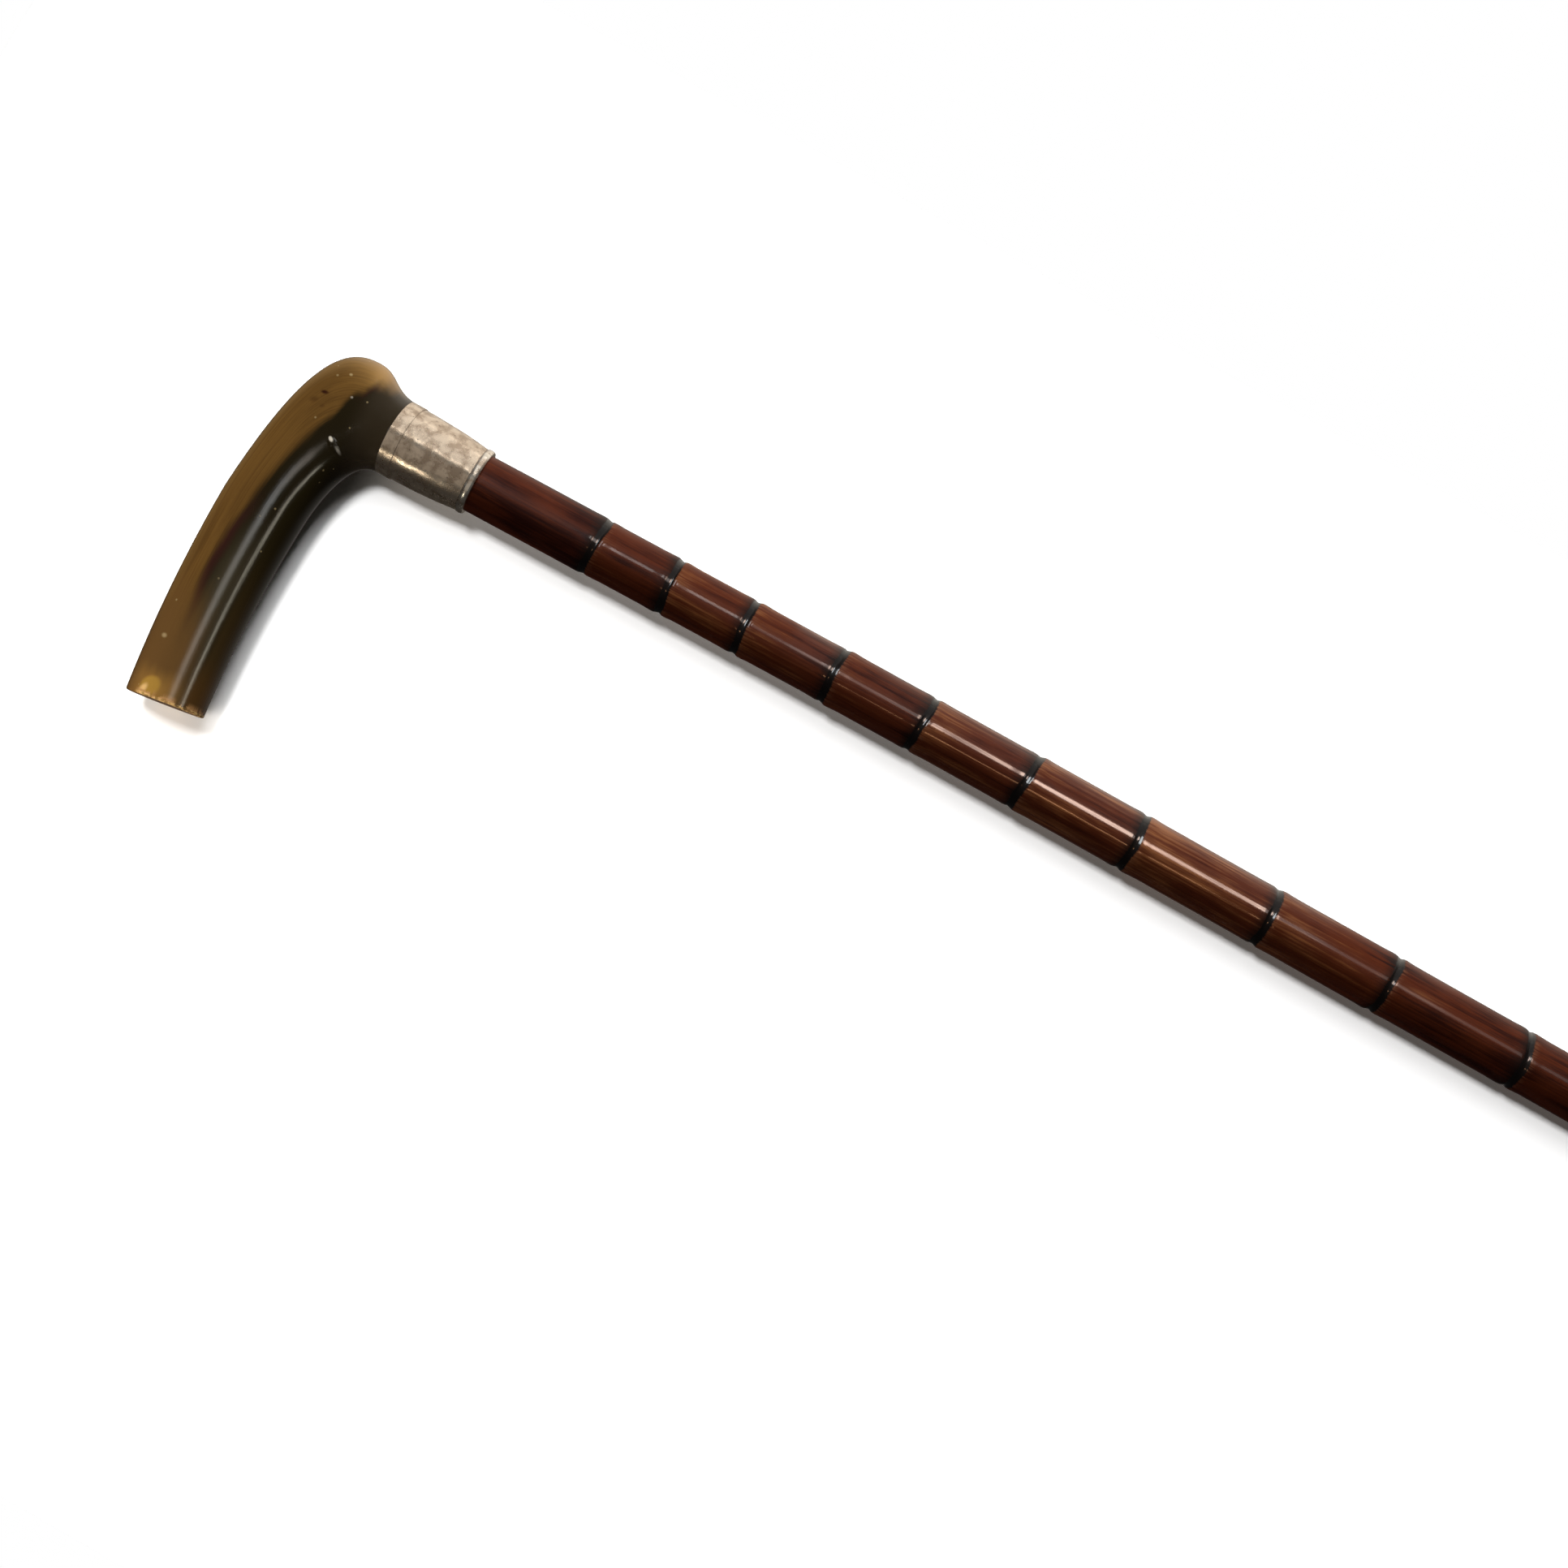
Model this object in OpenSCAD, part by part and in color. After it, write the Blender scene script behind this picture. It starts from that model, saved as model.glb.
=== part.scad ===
// Walking cane with a horn crutch handle, a silver collar, a stepped cane shaft
// and a brass ferrule. It lies on its side: the shaft runs along X to the tip,
// the grip points to -Y, and the origin is the middle of the ground face.
// All sizes are in millimetres.

/* [Shaft] */
// Bare length of the shaft between the collar and the ferrule
shaft_len = 784; // [560:1:860]
// Diameter of the shaft just below the collar
shaft_top_d = 17.9; // [16.4:0.1:18.6]
// Diameter of the shaft where it enters the ferrule
shaft_low_d = 14.2; // [12.6:0.1:15.4]
// How late the shaft starts to thin: 1 is a plain taper
taper_power = 3.6; // [1:0.1:5]
// Depth of the dark groove at each cane node
node_depth = 0.35; // [0.1:0.05:0.6]
// Width of the groove at each cane node
node_w = 1.8; // [1:0.1:3]
// How far the cane swells beside each groove
node_swell = 0.18; // [0.05:0.01:0.4]
// Length over which the cane swells on each side of a groove
node_shoulder = 6; // [4:0.5:9]

/* [Handle] */
// Drop of the grip from the shaft's axis to its lowest corner
grip_drop = 102.6; // [90:0.1:115]
// Width of the grip at its upper end, across the bow
grip_w = 25.1; // [22:0.1:28]
// Width of the grip at its free end
grip_end_w = 23.4; // [20:0.1:27]
// Thickness of the grip, at right angles to its width
grip_thick = 23; // [20:0.5:26]
// Thickness of the grip at its free end
grip_end_thick = 21.6; // [19:0.1:25]
// Extra thickness of the knuckle on each side
knuckle_fat = 0.4; // [0:0.1:1.5]
// Reach of the handle from the collar's edge to the back of the grip
handle_reach = 35.8; // [32:0.1:40]
// Height of the knuckle above the shaft's axis
knuckle_rise = 16.9; // [14:0.1:20]
// Distance of the knuckle's highest point from the collar's edge
knuckle_back = 14.3; // [11:0.1:17]
// Distance from the shaft's axis down to where the grip's bow starts
bow_start = 36.3; // [33:0.1:43]
// Radius of the grip's long backward bow
bow_r = 410; // [300:10:900]
// Slant of the end face of the grip, in degrees
end_slant = 8.5; // [0:0.1:12]
// Radius of the edge round the end face
end_round = 0.6; // [0.4:0.1:2]

/* [Collar] */
// Length of the collar from the handle to the bare shaft
collar_len = 28.1; // [24:0.1:36]
// Diameter of the collar over its band, at the handle
collar_top_d = 23.2; // [22.4:0.1:24]
// Diameter of the collar's sleeve at the bead
collar_low_d = 20.1; // [19.5:0.1:20.8]
// How soon the collar has swelled above the bead: 1 is a plain cone
collar_swell = 2.6; // [1:0.1:4]
// Wall of the collar's sleeve
collar_wall = 0.5; // [0.3:0.05:0.6]
// Width of the flat band at the handle end
band_w = 4.4; // [3:0.1:6]
// Thickness of the flat band
band_thick = 0.15; // [0.1:0.01:0.3]
// Width of the half-round bead at the shaft end
bead_w = 2.4; // [1.8:0.1:3.5]
// How far the bead stands proud of the sleeve
bead_proud = 0.15; // [0.05:0.05:0.4]
// Depth of the handle's tenon inside the collar
neck_depth = 8; // [5:0.5:12]

/* [Dowel] */
// Diameter of the steel dowel between handle and shaft
dowel_d = 6; // [4:0.1:7]
// Depth of the dowel in the handle, past the handle's tenon
dowel_up = 24; // [15:1:27]
// Depth of the dowel in the shaft
dowel_down = 38; // [25:1:60]
// Depth of the pocket for glue past each end of the dowel
glue_pocket = 0.3; // [0.1:0.1:1]

/* [Ferrule] */
// Length of the brass sleeve
ferrule_len = 38; // [30:1:50]
// Length of the sleeve's parallel stretch, where a rubber tip pushes on
ferrule_straight = 24; // [18:1:28]
// Wall of the brass sleeve
ferrule_wall = 0.8; // [0.5:0.1:1.2]
// Depth turned off the shaft where the sleeve fits over it
tenon_step = 0.7; // [0.4:0.1:1]
// How far the sleeve's upper edge stands proud of the shaft
ferrule_lip = 0.3; // [0.1:0.1:0.6]
// Thickness of the iron heel below the sleeve
heel_thick = 4; // [3:0.5:8]
// Length of the heel's plug inside the sleeve
heel_plug = 8; // [5:0.5:12]
// Bevel round the ground face of the heel
heel_bevel = 0.7; // [0.3:0.1:1.5]
// How far the heel's side stands in from the sleeve
heel_inset = 0.2; // [0:0.1:0.5]
// Diameter of the two pins through the sleeve
pin_d = 1.4; // [1:0.1:2]
// Length of each pin under its head
pin_len = 5; // [3:0.5:5.5]
// Distance of the pins from the sleeve's upper edge
pin_from_edge = 5; // [3:0.5:8]

/* [Hidden] */
$fn = 64;

// Radial room that pieces pushed together are given for glue, solder or a press
fit_gap = 0.05;
// Height of a pin's domed head
pin_dome = 0.2;
// Lengths between the cane's nodes from the collar down; the last one repeats
node_gaps = [39.4, 24.5, 25, 29.6, 29.2, 33.9, 35.8, 44.1, 38.9, 43.6, 47, 50, 47, 54, 52, 58,
             55, 60];
// How much thicker each length of cane is than the plain taper; the last one repeats
length_fat = [0, -0.5, -0.9, -0.9, -0.4, -0.5, -0.1, 0, 0.2, 0, -0.2, -0.1, -0.3, -0.1, -0.2, 0];
// Bare shaft that is kept below the last node
last_bare = 30;

// Stations along X, from the ground face at 0 back to the handle
sleeve_low_x = -heel_thick;
sleeve_top_x = sleeve_low_x - ferrule_len;
bare_top_x = sleeve_top_x - shaft_len;
bead_x = bare_top_x - bead_w;
collar_x = bare_top_x - collar_len;
neck_x = collar_x + neck_depth;

// Ferrule radii
ferrule_bore_r = shaft_low_d / 2 - tenon_step;
ferrule_r = ferrule_bore_r + ferrule_wall;
ferrule_edge_r = shaft_low_d / 2 + ferrule_lip;
pin_x = sleeve_top_x + pin_from_edge;

// Collar radii: the sleeve swells from the bead towards the handle
sleeve_top_r = collar_top_d / 2 - band_thick - fit_gap;
sleeve_low_r = collar_low_d / 2;

// Outer radius of the collar's sleeve at a station
function sleeve_r(x) =
    sleeve_top_r - (sleeve_top_r - sleeve_low_r)
        * pow(max(0, (x - collar_x) / (bead_x - collar_x)), collar_swell);

// Stations between two others, both ends included
function stations(x0, x1, steps) = [for (i = [0 : steps]) x0 + (x1 - x0) * i / steps];

// Radius of what fills the collar's sleeve at a station
function core_r(x) = sleeve_r(x) - collar_wall - fit_gap;

// Radius of the bare shaft at a distance below the collar
function shaft_r(s) =
    (shaft_top_d - (shaft_top_d - shaft_low_d) * pow(s / shaft_len, taper_power)) / 2;

// Distance of a cane node below the collar
function node_s(i) =
    let (last = len(node_gaps) - 1)
    i < 0 ? 0 : node_s(i - 1) + node_gaps[min(i, last)];

// Change of radius of a length of cane, the first being 0
function fat_r(i) = length_fat[min(i, len(length_fat) - 1)] / 2;

// Change of radius beside a cane node, at a distance from its middle
function step_r(i, d) =
    d < -node_w / 4 ? fat_r(i) : d > node_w / 4 ? fat_r(i + 1) : min(fat_r(i), fat_r(i + 1));

// How many nodes the bare shaft has room for
function node_count(i = 0) = node_s(i) > shaft_len - last_bare ? i : node_count(i + 1);

// Profile of one node as [distance from its middle, change of radius]
node_profile = [
    [-node_shoulder, 0],
    [-node_w, node_swell],
    [-node_w / 2, 0],
    [-node_w / 5, -node_depth],
    [node_w / 5, -node_depth],
    [node_w / 2, 0],
    [node_w, node_swell],
    [node_shoulder, 0]
];

// A ring about the shaft's axis, from [radius, x] points
module turned(points) {
    rotate([0, 90, 0]) rotate_extrude() polygon(points);
}

// A round bar along X between two stations
module bar(r, x0, x1) {
    translate([x0, 0, 0]) rotate([0, 90, 0]) cylinder(r = r, h = x1 - x0);
}

// Handle outline in the plane of the grip, walked from the collar to the free end.
// Steps 0 to 1 run over the knuckle, 1 to 2 down its back, 2 to 3 along the grip.
back_x = collar_x - handle_reach;
crown = [collar_x - knuckle_back, knuckle_rise];
back_start = [back_x, -bow_start];
throat_start = [back_x + grip_w, -bow_start];
neck_r = collar_top_d / 2;
neck_top = [collar_x, neck_r];
neck_low = [collar_x, -neck_r];
// How far the outline keeps its direction past each of its corner points
neck_lead = [-7.4, 0.6];
crown_lead_in = [6, 0];
crown_lead_out = [-9.5, 0];
back_lead = [2.2, 48];
throat_lead = [-10.4, 0];
throat_lead_in = [0, 2.2];
// Where the inner corner stands when the outline passes the crown, as a power
throat_lag = 1.3;
// Fullness of the grip's section: 2 is an ellipse
grip_full = 2.2;

// Rings of the handle in each step of its outline, and points in each ring
knuckle_rings = 8;
back_rings = 16;
grip_rings = 12;
edge_rings = 3;
ring_sides = 32;

function curve(p, q, r, s, t) =
    p * pow(1 - t, 3) + q * 3 * t * pow(1 - t, 2) + r * 3 * t * t * (1 - t) + s * pow(t, 3);

function ease(t) = t * t * (3 - 2 * t);

// How far the bow has moved the grip at a depth below its start
function bow(d) = bow_r - sqrt(bow_r * bow_r - d * d);

function grip_depth(v) = (v - 2) * (grip_drop - bow_start);

function outer_at(v) =
    v <= 1 ? curve(neck_top, neck_top + neck_lead, crown + crown_lead_in, crown, v)
    : v <= 2 ? curve(crown, crown + crown_lead_out, back_start + back_lead, back_start, v - 1)
    : back_start + [bow(grip_depth(v)), -grip_depth(v)];

function inner_at(v) =
    v <= 2 ? curve(neck_low, neck_low + throat_lead, throat_start + throat_lead_in,
                   throat_start, pow(v / 2, throat_lag))
    : let (w = grip_w + (grip_end_w - grip_w) * (v - 2), a = end_slant * (v - 2))
      outer_at(v) + w * [cos(a), sin(a)];

function half_thick(v) =
    v <= 2 ? neck_r + (grip_thick / 2 - neck_r) * ease(v / 2) + knuckle_fat * pow(sin(90 * v), 2)
    : (grip_thick + (grip_end_thick - grip_thick) * (v - 2)) / 2;

function fullness(v) = 2 + (grip_full - 2) * ease(min(v, 2) / 2);

function rounded(c, n) = sign(c) * pow(abs(c), 2 / n);

// One ring of the handle, drawn in by an inset and moved along the grip
function ring(v, inset = 0, ahead = 0) =
    let (p = outer_at(v), q = inner_at(v), across = (q - p) / norm(q - p),
         middle = (p + q) / 2 + ahead * [across[1], -across[0]],
         half_w = norm(q - p) / 2 - inset, half_t = half_thick(v) - inset, n = fullness(v))
    [for (k = [0 : ring_sides - 1])
        let (a = 360 * k / ring_sides,
             along = middle + across * half_w * rounded(cos(a), n))
        [along[0], along[1], half_t * rounded(sin(a), n)]];

// The last full ring stands one edge radius before the end face
edge_v = 3 - end_round / (grip_drop - bow_start);

function handle_rings() = [
    for (i = [0 : knuckle_rings - 1]) ring(i / knuckle_rings),
    for (i = [0 : back_rings - 1]) ring(1 + i / back_rings),
    for (i = [0 : grip_rings]) ring(2 + (edge_v - 2) * i / grip_rings),
    for (i = [1 : edge_rings])
        let (a = 90 * i / edge_rings)
        ring(edge_v, end_round * (1 - cos(a)), end_round * sin(a))
];

// A closed skin over a stack of rings
module loft(rings) {
    sides = len(rings[0]);
    last = len(rings) - 1;
    walls = [for (i = [0 : last - 1], k = [0 : sides - 1])
        let (a = i * sides + k, b = i * sides + (k + 1) % sides)
        each [[a, b + sides, b], [a, a + sides, b + sides]]];
    caps = [[for (k = [0 : sides - 1]) k], [for (k = [sides - 1 : -1 : 0]) last * sides + k]];
    polyhedron([for (r = rings, p = r) p], concat(walls, caps));
}

// Horn handle: bowed grip, knuckle, and a tenon that fills the top of the collar
module handle() {
    color("darkkhaki") difference() {
        union() {
            loft(handle_rings());
            turned([[0, collar_x - neck_depth / 2], [core_r(collar_x), collar_x - neck_depth / 2],
                    for (x = stations(collar_x, neck_x, 2)) [core_r(x), x], [0, neck_x]]);
        }
        bar(dowel_d / 2 + fit_gap, neck_x - dowel_up - glue_pocket, neck_x + 1);
    }
}

// Steel dowel glued into the handle and the shaft
module handle_dowel() {
    color("slategray") bar(dowel_d / 2, neck_x - dowel_up, neck_x + dowel_down);
}

// Silver sleeve of the collar
module collar_sleeve() {
    color("silver") turned([
        for (x = stations(collar_x, bead_x, 8)) [sleeve_r(x), x],
        for (x = stations(bead_x, collar_x, 8)) [sleeve_r(x) - collar_wall, x]]);
}

// Flat band soldered round the collar's upper edge
module collar_band() {
    band_x = collar_x + band_w;
    color("gainsboro") turned([
        [sleeve_r(collar_x) + fit_gap, collar_x],
        [sleeve_r(collar_x) + fit_gap + band_thick, collar_x],
        [sleeve_r(band_x) + fit_gap + band_thick, band_x],
        [sleeve_r(band_x) + fit_gap, band_x]]);
}

// Half-round bead that closes the collar's lower edge
module collar_bead() {
    steps = 10;
    color("whitesmoke") turned([
        [shaft_top_d / 2 + fit_gap, bead_x],
        for (i = [0 : steps])
            let (a = 180 * i / steps)
            [sleeve_low_r + bead_proud * sin(a), bead_x + bead_w * (1 - cos(a)) / 2],
        [shaft_top_d / 2 + fit_gap, bare_top_x]]);
}

// Stepped cane shaft, with its seat in the collar, its nodes and its lower tenon
module shaft() {
    low_x = sleeve_low_x - heel_plug;
    tenon_r = ferrule_bore_r - fit_gap;
    color("sienna") difference() {
        turned([
            [0, neck_x], for (x = stations(neck_x, bead_x, 6)) [core_r(x), x],
            [shaft_top_d / 2, bead_x],
            for (i = [0 : node_count() - 1], p = node_profile)
                [shaft_r(node_s(i) + p[0]) + step_r(i, p[0]) + p[1],
                 bare_top_x + node_s(i) + p[0]],
            [shaft_low_d / 2, sleeve_top_x], [tenon_r, sleeve_top_x],
            [tenon_r, low_x], [0, low_x]]);
        bar(dowel_d / 2 + fit_gap, neck_x - 1, neck_x + dowel_down + glue_pocket);
        pin_holes();
    }
}

// Holes that the two pins go through
module pin_holes() {
    for (side = [-1, 1]) {
        translate([pin_x, 0, 0]) rotate([-90 * side, 0, 0])
            translate([0, 0, ferrule_r - pin_len - glue_pocket])
                cylinder(d = pin_d + 2 * fit_gap, h = pin_len + ferrule_r);
    }
}

// Brass sleeve of the ferrule: parallel at the ground, flared towards the shaft
module ferrule_sleeve() {
    flare_x = sleeve_low_x - ferrule_straight;
    color("goldenrod") difference() {
        turned([
            [ferrule_bore_r, sleeve_top_x], [ferrule_edge_r, sleeve_top_x],
            [ferrule_r, flare_x], [ferrule_r, sleeve_low_x], [ferrule_bore_r, sleeve_low_x]]);
        pin_holes();
    }
}

// Iron heel with its plug up inside the sleeve and its flat ground face
module ferrule_heel() {
    plug_r = ferrule_bore_r - fit_gap;
    heel_r = ferrule_r - heel_inset;
    color("dimgray") turned([
        [0, sleeve_low_x - heel_plug], [plug_r, sleeve_low_x - heel_plug],
        [plug_r, sleeve_low_x], [heel_r, sleeve_low_x], [heel_r, -heel_bevel],
        [heel_r - heel_bevel, 0], [0, 0]]);
}

// Two pins through the sleeve into the shaft
module ferrule_pins() {
    // The sleeve's outside at the pins, where the heads lie
    outside = ferrule_r + (ferrule_edge_r - ferrule_r)
        * (ferrule_len - ferrule_straight - pin_from_edge) / (ferrule_len - ferrule_straight);
    color("darkgoldenrod") for (side = [-1, 1]) {
        translate([pin_x, 0, 0]) rotate([-90 * side, 0, 0]) rotate_extrude() polygon([
            [0, ferrule_r - pin_len], [pin_d / 2, ferrule_r - pin_len],
            [pin_d / 2, outside], [pin_d / 4, outside + pin_dome], [0, outside + pin_dome]]);
    }
}

handle();
handle_dowel();
collar_sleeve();
collar_band();
collar_bead();
shaft();
ferrule_sleeve();
ferrule_heel();
ferrule_pins();
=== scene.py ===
"""Looks of a walking cane with a horn crutch handle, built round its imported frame.

The cane lies on its side: +X runs down the shaft to the tip, the grip points to -Y and +Z
is up. The cane's sizes are millimetres until piece_from makes metres of them, and the
studio's are metres. An angle is in degrees, and a turn is in radians.
"""
import logging
import math
import random
from dataclasses import dataclass, field, replace
from enum import Enum
from typing import Iterable, Optional, Sequence, Union

import bmesh
import bpy
from mathutils import Matrix, Vector, noise


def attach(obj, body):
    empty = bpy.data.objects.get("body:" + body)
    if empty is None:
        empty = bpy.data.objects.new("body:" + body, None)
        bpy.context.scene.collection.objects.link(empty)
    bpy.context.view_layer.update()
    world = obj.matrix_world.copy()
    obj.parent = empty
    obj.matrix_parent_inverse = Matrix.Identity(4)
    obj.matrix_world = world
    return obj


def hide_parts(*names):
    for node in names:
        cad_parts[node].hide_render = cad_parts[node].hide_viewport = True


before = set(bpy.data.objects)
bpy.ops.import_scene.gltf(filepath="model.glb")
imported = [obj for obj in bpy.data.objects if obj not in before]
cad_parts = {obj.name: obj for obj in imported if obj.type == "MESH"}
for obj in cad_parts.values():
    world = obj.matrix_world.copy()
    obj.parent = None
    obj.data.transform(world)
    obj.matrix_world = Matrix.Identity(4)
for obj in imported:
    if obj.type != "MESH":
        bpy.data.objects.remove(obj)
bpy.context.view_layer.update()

MM = 0.001
BODY = "root"

log = logging.getLogger("cane")

Colour = tuple[float, float, float]
Point = tuple[float, float, float]
Value = Union["Signal", float, Sequence[float], bpy.types.NodeSocket]


class Slot(Enum):
    """Material slots of the record, which nothing in this script reads."""

    HORN = "horn"
    STEEL = "steel"
    SILVER = "silver"
    CANE = "cane"
    BRASS = "brass"
    IRON = "iron"


class Use(Enum):
    """What a lamp does for the picture."""

    SOFT = "lights dull surfaces and isn't mirrored"
    MIRRORED = "shows only as a gleam on polished surfaces"


class Reach(Enum):
    """What a lamp is linked to."""

    ALL = "everything"
    FLOOR = "floor"
    HORN = "horn"
    SILVER = "silver"
    CANE = "cane"
    FOOT = "foot"


def smooth(low: float, high: float, value: float) -> float:
    """Rise from 0 to 1 between two limits, level at both ends.

    Args:
        low: Value at and below which the result is 0.
        high: Value at and above which the result is 1.
        value: The value to place between them.

    Returns:
        The eased share, from 0 to 1.
    """
    share = min(1.0, max(0.0, (value - low) / (high - low)))
    return share * share * (3.0 - 2.0 * share)


def between(stops: Sequence[tuple[float, float]], place: float) -> float:
    """Read a smooth line through a few chosen stops.

    Args:
        stops: Pairs of place and value, in rising order of place.
        place: Where to read the line.

    Returns:
        The value there, eased between the two stops round it.
    """
    if place <= stops[0][0]:
        return stops[0][1]
    for (low, first), (high, second) in zip(stops, stops[1:]):
        if place <= high:
            return first + (second - first) * smooth(low, high, place)
    return stops[-1][1]


def per(size: float) -> float:
    """Give the scale of a pattern whose cells are that many millimetres wide."""
    return 1.0 / (size * MM)


def spread(low: float, high: float, parts: int) -> list[float]:
    """List evenly spaced values from low to high, both of them included."""
    return [low + (high - low) * i / parts for i in range(parts + 1)]


class Signal:
    """One value in a node tree. Operators on it add Math nodes to the tree."""

    def __init__(self, bench: "Bench", socket: bpy.types.NodeSocket) -> None:
        """Hold an output socket and the bench that it belongs to."""
        self.bench = bench
        self.socket = socket

    def _maths(self, operation: str, *values: Value) -> "Signal":
        """Add one Math node with this signal as its first value."""
        return self.bench.maths(operation, self, *values)

    def __add__(self, other: Value) -> "Signal":
        """Add a value."""
        return self._maths("ADD", other)

    __radd__ = __add__

    def __sub__(self, other: Value) -> "Signal":
        """Take a value away."""
        return self._maths("SUBTRACT", other)

    def __rsub__(self, other: Value) -> "Signal":
        """Take this signal away from a value."""
        return self.bench.maths("SUBTRACT", other, self)

    def __mul__(self, other: Value) -> "Signal":
        """Multiply by a value."""
        return self._maths("MULTIPLY", other)

    __rmul__ = __mul__

    def __abs__(self) -> "Signal":
        """Drop the sign."""
        return self._maths("ABSOLUTE")

    def rise(self, low: float, high: float) -> "Signal":
        """Go smoothly from 0 to 1 between two limits, or from 1 to 0 where low is above high.

        Args:
            low: Value at which the result is 0.
            high: Value at which the result is 1.

        Returns:
            The eased signal.
        """
        if low > high:
            return 1.0 - self.rise(high, low)
        made = self.bench.add(
            "ShaderNodeMapRange",
            {"interpolation_type": "SMOOTHSTEP"},
            {"Value": self, "From Min": low, "From Max": high},
        )
        return Signal(self.bench, made.outputs["Result"])

    def hill(self, middle: float, half: float) -> "Signal":
        """Stand at 1 at a middle value and fall smoothly to 0 on both sides.

        Args:
            middle: Value at which the result is 1.
            half: Distance from the middle at which the result is 0.

        Returns:
            The eased signal.
        """
        return abs(self - middle).rise(half, 0.0)


class Bench:
    """Node tree of a material or of the room: its shader and the nodes that feed it."""

    def __init__(self, owner: Union[bpy.types.Material, bpy.types.World]) -> None:
        """Start on a material or a world that holds only its shader and its output.

        Args:
            owner: The new material or world.
        """
        owner.use_nodes = True
        self.owner = owner
        self.tree = owner.node_tree
        self.shader = next(node for node in self.tree.nodes if node.inputs and node.outputs)

    def add(self, kind: str, settings: Optional[dict] = None,
            inputs: Optional[dict] = None) -> bpy.types.Node:
        """Add a node.

        Args:
            kind: The node's type.
            settings: Its own settings. Of a colour ramp, "easing" is how it joins its
                stops, and "stops" holds their pairs of place and colour.
            inputs: Value or link of each socket, by name or by number.

        Returns:
            The new node.
        """
        node = self.tree.nodes.new(kind)
        for name, value in (settings or {}).items():
            if name == "stops":
                self._set_stops(node.color_ramp, value)
            elif name == "easing":
                node.color_ramp.interpolation = value
            else:
                setattr(node, name, value)
        for name, value in (inputs or {}).items():
            self.plug(node.inputs[name], value)
        return node

    @staticmethod
    def _set_stops(ramp: bpy.types.ColorRamp, stops: Sequence[tuple[float, Colour]]) -> None:
        """Give a colour ramp its stops.

        Args:
            ramp: The ramp of a new node.
            stops: Pairs of place and colour, in rising order of place.
        """
        while len(ramp.elements) < len(stops):
            ramp.elements.new(0.5)
        for element, (place, colour) in zip(ramp.elements, stops):
            element.position = place
            element.color = (*colour, 1.0)

    def plug(self, socket: bpy.types.NodeSocket, value: Value) -> None:
        """Set a socket's value, or link a signal or another socket to it.

        Args:
            socket: The input to fill.
            value: What it takes.
        """
        if isinstance(value, Signal):
            self.tree.links.new(value.socket, socket)
        elif isinstance(value, bpy.types.NodeSocket):
            self.tree.links.new(value, socket)
        elif socket.type == "RGBA" and len(value) == 3:
            socket.default_value = (*value, 1.0)
        else:
            socket.default_value = value

    def maths(self, operation: str, *values: Value) -> Signal:
        """Add a Math node for an operation on one to three values."""
        node = self.add("ShaderNodeMath", {"operation": operation}, dict(enumerate(values)))
        return Signal(self, node.outputs[0])

    def mix(self, share: Value, first: Value, second: Value) -> Signal:
        """Mix two colours, with 0 giving the first and 1 the second."""
        node = self.add("ShaderNodeMix", {"data_type": "RGBA"}, {0: share, 6: first, 7: second})
        return Signal(self, node.outputs[2])

    def place(self) -> Signal:
        """Give the point's place on the object, in metres."""
        return Signal(self, self.add("ShaderNodeTexCoord").outputs["Object"])

    def mark(self, name: str) -> Signal:
        """Read a number that the mesh carries at its vertices."""
        node = self.add("ShaderNodeAttribute", {"attribute_name": name})
        return Signal(self, node.outputs["Fac"])

    def join(self, x: Value, y: Value, z: Value) -> Signal:
        """Make a vector from three numbers."""
        return Signal(self, self.add("ShaderNodeCombineXYZ", None, {0: x, 1: y, 2: z}).outputs[0])

    def parts(self, vector: Value) -> tuple[Signal, Signal, Signal]:
        """Split a vector into its three numbers."""
        node = self.add("ShaderNodeSeparateXYZ", None, {0: vector})
        return tuple(Signal(self, out) for out in node.outputs)

    def moved(self, vector: Value, scale: Sequence[float],
              centre: Sequence[float] = (0.0, 0.0, 0.0), angle: float = 0.0) -> Signal:
        """Centre, turn and stretch a pattern.

        Args:
            vector: The coordinates to change.
            scale: How dense the pattern is along each of its own axes.
            centre: Point that becomes the pattern's origin.
            angle: Angle about Z of the pattern's own axes, in degrees.

        Returns:
            The pattern's coordinates.
        """
        for change in ({"Location": [-c for c in centre]},
                       {"Rotation": (0.0, 0.0, -math.radians(angle))}, {"Scale": scale}):
            node = self.add("ShaderNodeMapping", {"vector_type": "POINT"},
                            {"Vector": vector, **change})
            vector = node.outputs[0]
        return Signal(self, vector)

    def noise(self, vector: Value, scale: float, detail: float = 3.0,
              roughness: float = 0.5, distortion: float = 0.0) -> Signal:
        """Add a noise pattern, whose values lie round 0.5.

        Args:
            vector: The pattern's coordinates.
            scale: How dense it is.
            detail: How many finer layers it has.
            roughness: How strong the finer layers are.
            distortion: How far the pattern is swirled.

        Returns:
            The pattern's value.
        """
        node = self.add("ShaderNodeTexNoise", {"noise_dimensions": "3D"},
                        {"Vector": vector, "Scale": scale, "Detail": detail,
                         "Roughness": roughness, "Distortion": distortion})
        return Signal(self, node.outputs["Fac"])

    def cells(self, vector: Value, scale: float) -> Signal:
        """Give the distance to the nearest of a scatter of points."""
        node = self.add("ShaderNodeTexVoronoi", {"feature": "F1"},
                        {"Vector": vector, "Scale": scale})
        return Signal(self, node.outputs["Distance"])

    def ramp(self, value: Value, stops: Sequence[tuple[float, Colour]],
             easing: str = "EASE") -> Signal:
        """Turn a value into a colour through a ramp."""
        node = self.add("ShaderNodeValToRGB", {"easing": easing, "stops": stops}, {"Fac": value})
        return Signal(self, node.outputs["Color"])

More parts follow.
